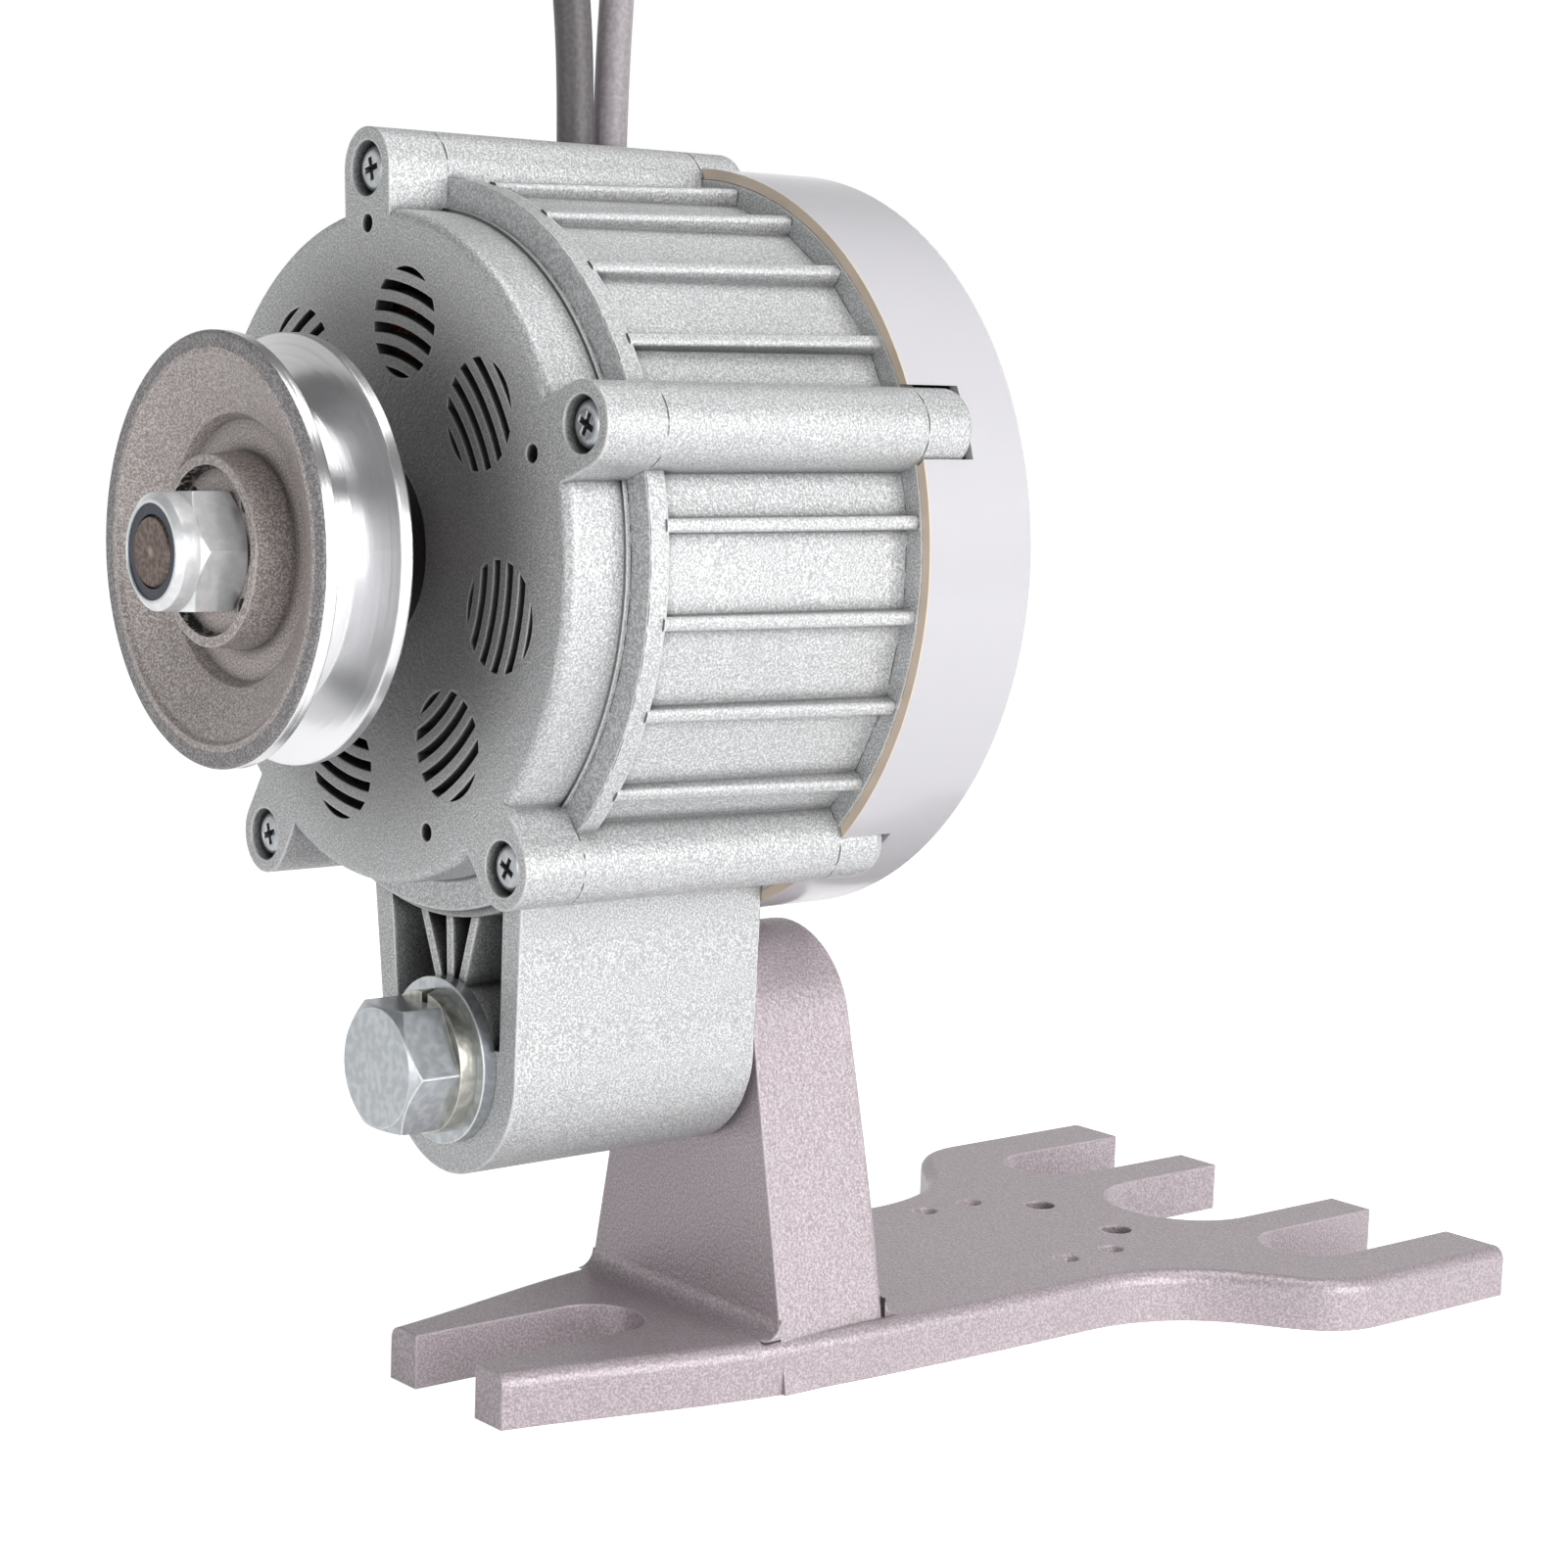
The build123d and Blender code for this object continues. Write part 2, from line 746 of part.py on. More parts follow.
def make_rear_cover():
    front = body_rear_y
    rear = cover_rear_y
    inner = cover_radius - cover_wall
    shell = turned([
        (inner, front),
        (cover_radius, front),
        (cover_radius, rear),
        (0, rear),
        (0, rear - cover_wall),
        (inner, rear - cover_wall),
    ])
    corner = shell.edges().filter_by(GeomType.CIRCLE).filter_by(
        lambda e: abs(e.radius - cover_radius) < 0.01
    )
    shell = fillet(corner.group_by(Axis.Y)[-1], cover_edge_radius)
    notch = boss_outline(boss_root_radius, boss_radius + cover_notch_play)
    for angle in boss_angles:
        cut = slab(notch, front - 1, lug_end_y + cover_notch_play)
        shell = shell - Rot(0, -angle, 0) * cut
    for x, z in post_places():
        shell = shell - rod(cover_screw_radius + 0.2, rear - 2 * cover_wall, rear + 1, x, z)
    return one(shell)


def make_cover_screws():
    top = cover_rear_y
    head = turned([
        (0, top),
        (cover_screw_head_radius, top),
        (cover_screw_head_radius, top + cover_screw_head_height * 0.5),
        (cover_screw_head_radius * 0.7, top + cover_screw_head_height),
        (0, top + cover_screw_head_height),
    ])
    cross = Box(3.6, 1.6, 0.8) + Box(0.8, 1.6, 3.6)
    tip = top - cover_wall - cover_screw_length
    screw = head - Pos(0, top + cover_screw_head_height, 0) * cross + rod(cover_screw_radius, tip, top)
    return group([Pos(x, 0, z) * screw for x, z in post_places()], "cover_screws")


def bearing(bore, outer, width, y0, ball_radius, ball_count):
    """Outer ring, inner ring and balls of one deep-groove bearing."""
    middle = y0 + width / 2
    pitch = (bore + outer) / 2
    groove = ball_radius + ball_play
    track = revolve(Pos(pitch, middle) * Circle(groove), Axis.Y)
    outer_ring = ring(outer, outer - race_height, y0, y0 + width) - track
    inner_ring = ring(bore + race_height, bore, y0, y0 + width) - track
    balls = []
    for k in range(ball_count):
        x, z = at_angle(pitch, 360.0 / ball_count * k)
        balls.append(Pos(x, middle, z) * Sphere(ball_radius))
    return one(outer_ring), one(inner_ring), balls


def make_wave_washer():
    y0 = rear_bearing_y - wave_washer_height
    return one(ring(rear_bearing_radius - 0.4, rear_bearing_radius - 3.5, y0, rear_bearing_y))


def make_shaft():
    shoulder = pulley_shoulder_y
    front_end = front_bearing_y + front_bearing_width
    body_end = rear_bearing_y - shaft_step_length
    outline = [
        (0, shaft_front_y),
        (thread_radius - 0.5, shaft_front_y),
        (thread_radius, shaft_front_y + 0.8),
        (thread_radius, hub_seat_y + 1.5),
        (pulley_seat_radius, hub_seat_y + 1.5),
        (pulley_seat_radius, shoulder),
        (front_bearing_bore, shoulder),
        (front_bearing_bore, front_end),
        (shaft_body_radius, front_end),
        (shaft_body_radius, body_end),
        (rear_bearing_bore + 2.0, body_end),
        (rear_bearing_bore + 2.0, rear_bearing_y),
        (rear_bearing_bore, rear_bearing_y),
        (rear_bearing_bore, rear_bearing_y + rear_bearing_width + 0.5),
        (shaft_tail_radius, rear_bearing_y + rear_bearing_width + 0.5),
        (shaft_tail_radius, shaft_tail_y),
        (0, shaft_tail_y),
    ]
    shaft = turned(outline)
    return one(shaft - key_block(0.0))


def key_block(play):
    """The key's space at the top of the pulley seat."""
    low = pulley_seat_radius - key_depth
    high = pulley_seat_radius + key_above_shaft + play
    middle = Pos(0, key_front_y + key_length / 2, (low + high) / 2)
    return middle * Box(key_width, key_length, high - low)


def make_pulley():
    front = pulley_front_y
    rear = front + pulley_width
    middle = (front + rear) / 2
    bore = pulley_seat_radius + shaft_fit_play
    body = turned([
        (bore, hub_seat_y),
        (hub_seat_radius, hub_seat_y),
        (hub_seat_radius, hub_front_y),
        (hub_radius, hub_front_y),
        (hub_foot_radius, step_y),
        (step_radius, step_y),
        (dish_radius, dish_y),
        (rim_face_radius - 0.8, front + 0.8),
        (rim_face_radius, front),
        (pulley_radius - 0.5, front),
        (pulley_radius, front + 0.5),
        (pulley_radius, middle - groove_top_half),
        (groove_floor_radius, middle - groove_floor_half),
        (groove_floor_radius, middle + groove_floor_half),
        (pulley_radius, middle + groove_top_half),
        (pulley_radius, rear - 0.5),
        (pulley_radius - 0.5, rear),
        (rear_rim_radius + 1.5, rear),
        (rear_rim_radius - 2.0, web_rear_y),
        (hub_foot_radius + 0.6, web_rear_y),
        (hub_radius, pulley_shoulder_y),
        (bore, pulley_shoulder_y),
    ])
    for k in range(hub_notch_count):
        x, z = at_angle(hub_notch_circle, hub_notch_first_angle + 360.0 / hub_notch_count * k)
        body = body - rod(hub_notch_radius, hub_seat_y - 1, hub_seat_y + 2.5, x, z)
    thread_bore = rod(thread_radius + 0.2, hub_seat_y - 1, hub_seat_y + 2)
    body = body - thread_bore
    keyway = key_block(key_play)
    slot_length = pulley_shoulder_y - key_front_y
    high = pulley_seat_radius + key_above_shaft + key_play
    run_out = Pos(0, key_front_y + slot_length / 2, high / 2) * Box(key_width, slot_length, high)
    return one(body - keyway - run_out)


def make_nut():
    top = hub_seat_y - nut_height
    collar_foot = top + nut_collar_height
    corner = nut_across / sqrt(3)
    flat = nut_across / 2
    body = slab(hexagon(nut_across), collar_foot, hub_seat_y)
    limits = turned([
        (0, collar_foot),
        (flat, collar_foot),
        (corner + 0.2, collar_foot + 1.1),
        (corner + 0.2, hub_seat_y - 1.1),
        (flat, hub_seat_y),
        (0, hub_seat_y),
    ])
    collar = turned([
        (0, top),
        (nut_collar_radius - 1.6, top),
        (nut_collar_radius - 0.4, top + 0.9),
        (nut_collar_radius - 0.2, collar_foot + 0.2),
        (0, collar_foot + 0.2),
    ])
    nut = (body & limits) + collar
    nut = nut - rod(thread_radius, top - 1, hub_seat_y + 1)
    return one(nut - rod(nut_ring_radius, top - 1, top + nut_ring_height))


def make_nut_ring():
    top = hub_seat_y - nut_height
    return one(ring(nut_ring_radius, thread_radius, top + 0.3, top + nut_ring_height))


def make_rotor_core():
    return one(ring(rotor_radius, shaft_body_radius, rotor_front_y, rotor_rear_y))


def make_magnets():
    step = 360.0 / magnet_count
    span = step - magnet_gap_angle
    outline = make_face(Polyline(
        (rotor_radius, rotor_front_y + 1),
        (magnet_radius, rotor_front_y + 1),
        (magnet_radius, rotor_rear_y - 1),
        (rotor_radius, rotor_rear_y - 1),
        close=True,
    ))
    block = revolve(outline, Axis.Y, span)
    slices = [Rot(0, k * step, 0) * block for k in range(magnet_count)]
    return group(slices, "magnets")


def make_stator():
    yoke = ring(body_bore_radius, stator_yoke_radius, stator_front_y, stator_rear_y)
    middle = (tooth_tip_radius + stator_yoke_radius) / 2
    length = stator_yoke_radius - tooth_tip_radius + 2
    outline = Pos(middle, 0) * Rectangle(length, tooth_width)
    shoe = Pos(tooth_tip_radius + tooth_tip_height / 2, 0) * Rectangle(tooth_tip_height, tooth_tip_width)
    outline = outline + shoe - Circle(tooth_tip_radius)
    teeth = [slab(Rot(0, 0, 360.0 / tooth_count * k) * outline, stator_front_y, stator_rear_y)
             for k in range(tooth_count)]
    return one(fuse_all(yoke, teeth))


def make_windings():
    inner_r = tooth_tip_radius + tooth_tip_height + 0.6
    outer_r = stator_yoke_radius - 1.2
    depth = outer_r - inner_r
    height = stator_rear_y - stator_front_y
    hole_y = height + 2 * coil_play
    hole_z = tooth_width + 2 * coil_play
    outline = RectangleRounded(hole_y + 2 * coil_thickness, hole_z + 2 * coil_thickness, coil_thickness)
    outline = outline - RectangleRounded(hole_y, hole_z, 0.8)
    turn = extrude(Plane.YZ.offset(inner_r) * outline, depth)
    turn = Pos(0, (stator_front_y + stator_rear_y) / 2, 0) * turn
    step = 360.0 / tooth_count
    return group([Rot(0, -k * step, 0) * turn for k in range(tooth_count)], "windings")


def make_sensor_board():
    board = ring(board_radius, board_bore_radius, board_y, board_y + board_thickness)
    for x, z in post_places():
        board = board - rod(post_radius + 0.6, board_y - 1, board_y + 4, x, z)
    for x, z in board_places():
        board = board - rod(board_screw_radius, board_y - 1, board_y + 4, x, z)
    for angle in boss_angles:
        cut = slab(boss_outline(boss_root_radius, boss_radius + 1.0), board_y - 1, board_y + 4)
        board = board - Rot(0, -angle, 0) * cut
    chip_y = board_y + board_thickness + chip_height / 2
    chip = Pos(0, chip_y, -board_bore_radius - chip_offset) * Box(chip_length, chip_height, chip_width)
    return one(board + chip)


def make_board_screws():
    top = board_y + board_thickness
    head = rod(board_screw_head_radius, top, top + board_screw_head_height)
    screw = head + rod(board_screw_radius, board_y - board_screw_depth, top)
    return group([Pos(x, 0, z) * screw for x, z in board_places()], "board_screws")


def make_sensor_disc():
    y0 = shaft_tail_y - disc_thickness
    return one(ring(disc_radius, shaft_tail_radius, y0, shaft_tail_y))


def unit(a, b):
    d = [b[i] - a[i] for i in range(3)]
    n = sqrt(sum(v * v for v in d))
    return [v / n for v in d], n


def cable_tube(points, radius, name):
    """Straight runs joined by tangent arcs through hand-chosen points."""
    edges = []
    radii = []
    start = points[0]
    length = 0.0
    for i in range(1, len(points) - 1):
        before, run_a = unit(points[i - 1], points[i])
        after, run_b = unit(points[i], points[i + 1])
        dot = sum(before[k] * after[k] for k in range(3))
        turn = atan2(sqrt(max(0.0, 1 - dot * dot)), dot)
        cut = 0.45 * min(run_a, run_b)
        bend = cut / tan(turn / 2)
        enter = [points[i][k] - before[k] * cut for k in range(3)]
        leave = [points[i][k] + after[k] * cut for k in range(3)]
        middle_dir = [after[k] - before[k] for k in range(3)]
        size = sqrt(sum(v * v for v in middle_dir))
        out = bend / cos(turn / 2) - bend
        middle = [points[i][k] + middle_dir[k] / size * out for k in range(3)]
        edges.append(Line(tuple(start), tuple(enter)))
        edges.append(ThreePointArc(tuple(enter), tuple(middle), tuple(leave)))
        length += unit(start, enter)[1] + bend * turn
        radii.append(round(bend, 1))
        start = leave
    edges.append(Line(tuple(start), tuple(points[-1])))
    length += unit(start, points[-1])[1]
    path = Wire(edges)
    first_dir, _ = unit(points[0], points[1])
    section = Plane(origin=tuple(points[0]), z_dir=tuple(first_dir)) * Circle(radius)
    tube = sweep(section, path=path)
    share = tube.volume / (pi * radius**2 * length)
    print(name, "length", round(length, 1), "volume share", round(share, 4), "radii", radii)
    return one(tube)


power_points = [
    (-20.0, -16.0, cable_start_z),
    (-20.0, -16.0, cable_first_z),
    (-21.0, -18.0, 252.0),
    (-34.0, -10.0, 280.0),
    (-64.0, 12.5, 298.0),
    (-98.0, 37.5, 296.0),
    (-125.0, 56.5, 272.0),
    (-138.5, 69.0, 235.0),
    (-141.5, 72.5, 190.0),
    (-140.5, 73.0, 144.0),
    (-141.5, 73.0, 98.0),
    (-141.8, 73.0, 60.0),
    (-142.0, 73.0, 26.0),
    (-142.0, 81.0, 12.0),
    (-142.0, 95.0, 4.0),
    (-142.0, 111.0, 4.0),
]
signal_points = [
    (-20.0, -8.6, cable_start_z),
    (-20.0, -8.6, cable_first_z),
    (-20.5, -7.0, 251.0),
    (-32.0, 1.5, 275.0),
    (-61.0, 24.5, 291.0),
    (-94.0, 48.5, 289.0),
    (-121.0, 67.0, 266.0),
    (-135.0, 76.0, 231.0),
    (-137.5, 80.0, 188.0),
    (-135.5, 79.5, 143.0),
    (-132.0, 76.5, 98.0),
    (-128.5, 73.5, 60.0),
    (-127.0, 73.0, 25.0),
    (-127.0, 80.5, 11.5),
    (-127.0, 93.5, 4.0),
    (-127.0, 108.5, 4.0),
]


def cable_root(points, radius):
    """The short upright end of a cable, seated in the grommet."""
    x, y, _ = points[0]
    low = grommet_top_z - cable_root_depth
    height = cable_root_top_z - low
    return one(Pos(x, y, low + height / 2) * Cylinder(radius, height))


def make_plug(points):
    """A moulded plug on the end of a cable, with a tapered boot."""
    direction, _ = unit(points[-2], points[-1])
    seat = Plane(origin=tuple(points[-1]), x_dir=(direction[1], -direction[0], 0), z_dir=tuple(direction))
    shell_foot = seat.offset(plug_boot_length)
    mouth_foot = seat.offset(plug_boot_length + plug_length - plug_mouth_depth)
    boot = loft([seat * Circle(plug_height * 0.46), shell_foot * RectangleRounded(10, 7.6, 2.5)])
    shell = extrude(shell_foot * RectangleRounded(plug_width, plug_height, plug_edge_radius), plug_length)
    hollow = Rectangle(plug_width - 2 * plug_wall, plug_height - 2 * plug_wall)
    mouth = extrude(mouth_foot * hollow, plug_mouth_depth + 1)
    return one(boot + shell - mouth)


def save(shape, node):
    shape.label = node
    export_step(shape, os.path.join("parts", node + ".step"))


def on_motor(shape):
    return motor_place * shape


def main():
    os.makedirs("parts", exist_ok=True)
    feet = [
        (power_points[0][0], power_points[0][1], power_cable_radius),
        (signal_points[0][0], signal_points[0][1], signal_cable_radius),
    ]

    save(make_bracket(), "bracket")
    save(make_hinge_bolt(), "hinge_bolt")
    save(make_spring_washer(), "spring_washer")
    save(make_plain_ring(flat_washer_radius, bolt_radius, flat_washer_y,
                         flat_washer_y + flat_washer_height), "flat_washer")
    save(make_plain_ring(thrust_washer_radius, bolt_radius, -thrust_washer_height, 0), "thrust_washer")

    save(on_motor(make_front_bell()), "front_bell")
    save(open_cable_exit(on_motor(make_motor_body())), "motor_body")
    save(make_grommet(feet), "cable_grommet")
    save(on_motor(make_through_screws()), "through_screws")
    save(on_motor(make_rear_shield()), "rear_shield")
    save(on_motor(make_rear_cover()), "rear_cover")
    save(on_motor(make_cover_screws()), "cover_screws")
    save(on_motor(make_stator()), "stator_core")
    save(on_motor(make_windings()), "windings")
    save(on_motor(make_sensor_board()), "sensor_board")
    save(on_motor(make_board_screws()), "board_screws")
    save(on_motor(make_wave_washer()), "wave_washer")

    outer, inner, balls = bearing(front_bearing_bore, front_bearing_radius, front_bearing_width,
                                  front_bearing_y, front_ball_radius, front_ball_count)
    save(on_motor(outer), "front_bearing_outer")
    save(on_motor(inner), "front_bearing_inner")
    save(on_motor(group(balls, "front_bearing_balls")), "front_bearing_balls")
    outer, inner, balls = bearing(rear_bearing_bore, rear_bearing_radius, rear_bearing_width,
                                  rear_bearing_y, rear_ball_radius, rear_ball_count)
    save(on_motor(outer), "rear_bearing_outer")
    save(on_motor(inner), "rear_bearing_inner")
    save(on_motor(group(balls, "rear_bearing_balls")), "rear_bearing_balls")
    seal = ring(bell_mouth_radius, front_bearing_bore + seal_play,
                front_bearing_y - seal_thickness, front_bearing_y)
    save(on_motor(one(seal)), "shaft_seal")

    save(on_motor(make_shaft()), "shaft")
    save(on_motor(make_rotor_core()), "rotor_core")
    save(on_motor(make_magnets()), "magnets")
    save(on_motor(make_pulley()), "pulley")
    save(on_motor(one(key_block(0.0))), "pulley_key")
    save(on_motor(make_nut()), "pulley_nut")
    save(on_motor(make_nut_ring()), "nut_locking_ring")
    save(on_motor(make_sensor_disc()), "sensor_disc")

    save(cable_tube(power_points, power_cable_radius, "power_cable"), "power_cable")
    save(cable_tube(signal_points, signal_cable_radius, "signal_cable"), "signal_cable")
    save(cable_root(power_points, power_cable_radius), "power_cable_root")
    save(cable_root(signal_points, signal_cable_radius), "signal_cable_root")
    save(make_plug(power_points), "power_plug")
    save(make_plug(signal_points), "signal_plug")


main()
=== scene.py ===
import bmesh
import bpy
from math import cos, pi, radians, sin
from mathutils import Matrix, Vector


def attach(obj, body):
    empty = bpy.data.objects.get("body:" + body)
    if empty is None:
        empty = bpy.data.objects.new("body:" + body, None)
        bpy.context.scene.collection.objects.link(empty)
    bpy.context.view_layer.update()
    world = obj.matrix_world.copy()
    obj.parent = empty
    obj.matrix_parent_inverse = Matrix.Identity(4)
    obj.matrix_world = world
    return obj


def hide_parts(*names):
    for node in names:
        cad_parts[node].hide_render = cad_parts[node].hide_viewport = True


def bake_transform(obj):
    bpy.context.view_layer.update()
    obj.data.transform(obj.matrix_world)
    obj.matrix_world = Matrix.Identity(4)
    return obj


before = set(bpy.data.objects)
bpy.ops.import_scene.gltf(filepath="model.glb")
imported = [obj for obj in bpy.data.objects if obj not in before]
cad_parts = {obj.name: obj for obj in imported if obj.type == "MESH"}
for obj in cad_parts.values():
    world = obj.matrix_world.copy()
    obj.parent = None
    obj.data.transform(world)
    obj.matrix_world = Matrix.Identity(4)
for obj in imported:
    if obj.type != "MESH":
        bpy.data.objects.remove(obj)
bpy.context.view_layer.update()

# Camera. A long lens, low and to the right of the pulley, looking a little
# down along the motor. It stands where the photograph was taken from.
camera_place = Vector((0.448859, -0.353689, 0.181737))
camera_azimuth = radians(50.23)
camera_height = radians(7.59)
camera_roll = radians(1.9)
sensor_width = 36
focal_pixels = 3290.44
picture_pixels = 1601
back = Vector((
    sin(camera_azimuth) * cos(camera_height),
    -cos(camera_azimuth) * cos(camera_height),
    sin(camera_height),
))
level = Vector((cos(camera_azimuth), sin(camera_azimuth), 0))
upward = back.cross(level)
right = cos(camera_roll) * level + sin(camera_roll) * upward
top = cos(camera_roll) * upward - sin(camera_roll) * level
camera_data = bpy.data.cameras.new("camera")
camera_data.sensor_width = sensor_width
camera_data.lens = sensor_width * focal_pixels / picture_pixels
camera = bpy.data.objects.new("camera", camera_data)
camera.matrix_world = Matrix.Translation(camera_place) @ Matrix((right, top, back)).transposed().to_4x4()
bpy.context.scene.collection.objects.link(camera)
bpy.context.scene.camera = camera
bpy.context.scene.view_settings.view_transform = "Standard"


# Studio. A plain pale floor that runs far behind the object, and a pale world
# that is dimmer overhead, in front and to the left, as a photographer's room is.
# Three soft lamps stand at the right, above, and low in front.
def feed(tree, socket, value):
    """Sets a socket to a given number or tuple, or links a node's output to it."""
    if isinstance(value, (int, float, tuple)):
        socket.default_value = value
    else:
        tree.links.new(value, socket)


def math_value(tree, operation, *values, clamp=False):
    """The result of a math node, fed with numbers or with other nodes' outputs."""
    node = tree.nodes.new("ShaderNodeMath")
    node.operation = operation
    node.use_clamp = clamp
    for socket, value in zip(node.inputs, values):
        feed(tree, socket, value)
    return node.outputs[0]


def vector_value(tree, operation, *vectors):
    """The number that a vector math node makes of one or two vectors."""
    node = tree.nodes.new("ShaderNodeVectorMath")
    node.operation = operation
    for socket, vector in zip(node.inputs, vectors):
        feed(tree, socket, vector)
    return node.outputs["Value"]


def ranged(tree, value, from_min, from_max, to_min=0.0, to_max=1.0, smooth=False):
    """A value moved from one range to another, held inside the second."""
    node = tree.nodes.new("ShaderNodeMapRange")
    if smooth:
        node.interpolation_type = "SMOOTHSTEP"
    feed(tree, node.inputs["Value"], value)
    feed(tree, node.inputs["From Min"], from_min)
    feed(tree, node.inputs["From Max"], from_max)
    feed(tree, node.inputs["To Min"], to_min)
    feed(tree, node.inputs["To Max"], to_max)
    return node.outputs["Result"]


def blend(tree, mask, first, second, kind="RGBA"):
    """Two colours, or two numbers where kind is FLOAT, mixed by a mask."""
    mix = tree.nodes.new("ShaderNodeMix")
    mix.data_type = kind
    socket_type = "VALUE" if kind == "FLOAT" else kind
    feed(tree, mix.inputs["Factor"], mask)
    sides = [s for s in mix.inputs if s.name in ("A", "B") and s.type == socket_type]
    for socket, value in zip(sides, (first, second)):
        feed(tree, socket, (*value, 1) if isinstance(value, tuple) else value)
    return [s for s in mix.outputs if s.type == socket_type][0]


floor_half = 6
floor_glow = 0.86
floor_glow_in_metal = 0.75
floor_mesh = bpy.data.meshes.new("floor")
floor_corners = [
    (-floor_half, -floor_half, 0),
    (floor_half, -floor_half, 0),
    (floor_half, floor_half, 0),
    (-floor_half, floor_half, 0),
]
floor_mesh.from_pydata(floor_corners, [], [(0, 1, 2, 3)])
floor = bpy.data.objects.new("floor", floor_mesh)
bpy.context.scene.collection.objects.link(floor)
floor_finish = bpy.data.materials.new("pale_floor")
floor_finish.use_nodes = True
floor_tree = floor_finish.node_tree
floor_shader = floor_tree.nodes["Principled BSDF"]
floor_shader.inputs["Base Color"].default_value = (0.86, 0.86, 0.87, 1)
floor_shader.inputs["Roughness"].default_value = 0.75
floor_shader.inputs["Emission Color"].default_value = (1, 1, 1, 1)
floor_path = floor_tree.nodes.new("ShaderNodeLightPath")
floor_seen = math_value(
    floor_tree, "MAXIMUM", floor_path.outputs["Is Camera Ray"], floor_path.outputs["Is Transmission Ray"]
)
floor_in_metal = floor_path.outputs["Is Glossy Ray"]
floor_level = math_value(
    floor_tree, "MULTIPLY_ADD", floor_in_metal, floor_glow_in_metal, floor_seen, clamp=True
)
floor_level = math_value(floor_tree, "MULTIPLY", floor_level, floor_glow)
floor_tree.links.new(floor_level, floor_shader.inputs["Emission Strength"])
floor_mesh.materials.append(floor_finish)

sky_brightest_way = (0.80, 0.42, -0.45)
sky_dimmest = 0.10
sky_brightest = 0.62
high_sky = 0.58
low_sky = 0.15
high_sky_in_metal = 0.16
low_sky_in_metal = 1.0
world = bpy.data.worlds.new("studio")
bpy.context.scene.world = world
world.use_nodes = True
sky_tree = world.node_tree
sky_way = sky_tree.nodes.new("ShaderNodeTexCoord").outputs["Generated"]
sky_side = vector_value(sky_tree, "DOT_PRODUCT", sky_way, sky_brightest_way)
sky_light = ranged(sky_tree, sky_side, -0.65, 0.8, sky_dimmest, sky_brightest)
sky_axes = sky_tree.nodes.new("ShaderNodeSeparateXYZ")
sky_tree.links.new(sky_way, sky_axes.inputs[0])
sky_in_metal = ranged(
    sky_tree, sky_axes.outputs["Z"], high_sky, low_sky, high_sky_in_metal, low_sky_in_metal
)
sky_path = sky_tree.nodes.new("ShaderNodeLightPath")
sky_seen = math_value(
    sky_tree, "MAXIMUM", sky_path.outputs["Is Camera Ray"], sky_path.outputs["Is Transmission Ray"]
)
sky_level = blend(sky_tree, sky_path.outputs["Is Glossy Ray"], sky_light, sky_in_metal, "FLOAT")
sky_level = blend(sky_tree, sky_seen, sky_level, 1.0, "FLOAT")
sky_tree.links.new(sky_level, sky_tree.nodes["Background"].inputs["Strength"])
sky_tree.nodes["Background"].inputs["Color"].default_value = (1, 1, 1, 1)


def soft_lamp(name, place, aim, size, power):
    """A square lamp at a place, turned to face a point."""
    data = bpy.data.lights.new(name, "AREA")
    data.shape = "SQUARE"
    data.size = size
    data.energy = power
    lamp = bpy.data.objects.new(name, data)
    toward = Vector(aim) - Vector(place)
    lamp.matrix_world = Matrix.Translation(place) @ toward.to_track_quat("-Z", "Y").to_matrix().to_4x4()
    bpy.context.scene.collection.objects.link(lamp)


soft_lamp("side_lamp", place=(0.85, 0.10, 0.24), aim=(0, 0, 0.12), size=0.85, power=8.1)
soft_lamp("top_lamp", place=(0.15, 0.10, 0.95), aim=(0, 0, 0.1), size=0.6, power=3.2)
soft_lamp("front_lamp", place=(0.08, -0.80, 0.08), aim=(0, -0.08, 0.12), size=0.4, power=1.1)


# Table bracket. One sand-cast iron piece, sprayed with a thin mauve-grey paint
# that leaves the casting's grain to be seen. Its edges carry a pale painted
# highlight, and its creases painted shade.
casting_grain = bpy.data.node_groups.new("casting_grain", "ShaderNodeTree")
casting_grain.interface.new_socket("Vector", in_out="INPUT", socket_type="NodeSocketVector")
for name, size in (("Grain Size", 0.0006), ("Fleck Size", 0.0003), ("Patch Size", 0.02)):
    socket = casting_grain.interface.new_socket(name, in_out="INPUT", socket_type="NodeSocketFloat")
    socket.default_value = size
for name in ("Grain", "Fleck", "Patch"):
    casting_grain.interface.new_socket(name, in_out="OUTPUT", socket_type="NodeSocketFloat")
grain_in = casting_grain.nodes.new("NodeGroupInput")
grain_out = casting_grain.nodes.new("NodeGroupOutput")
for name, detail, low, high in (
    ("Grain", 3.0, 0.3, 0.7),
    ("Fleck", 1.0, 0.42, 0.62),
    ("Patch", 4.0, 0.35, 0.7),
):
    noise = casting_grain.nodes.new("ShaderNodeTexNoise")
    noise.inputs["Detail"].default_value = detail
    scale = math_value(casting_grain, "DIVIDE", 1.0, grain_in.outputs[name + " Size"])
    casting_grain.links.new(scale, noise.inputs["Scale"])
    casting_grain.links.new(grain_in.outputs["Vector"], noise.inputs["Vector"])
    stretched = ranged(casting_grain, noise.outputs["Fac"], low, high)
    casting_grain.links.new(stretched, grain_out.inputs[name])
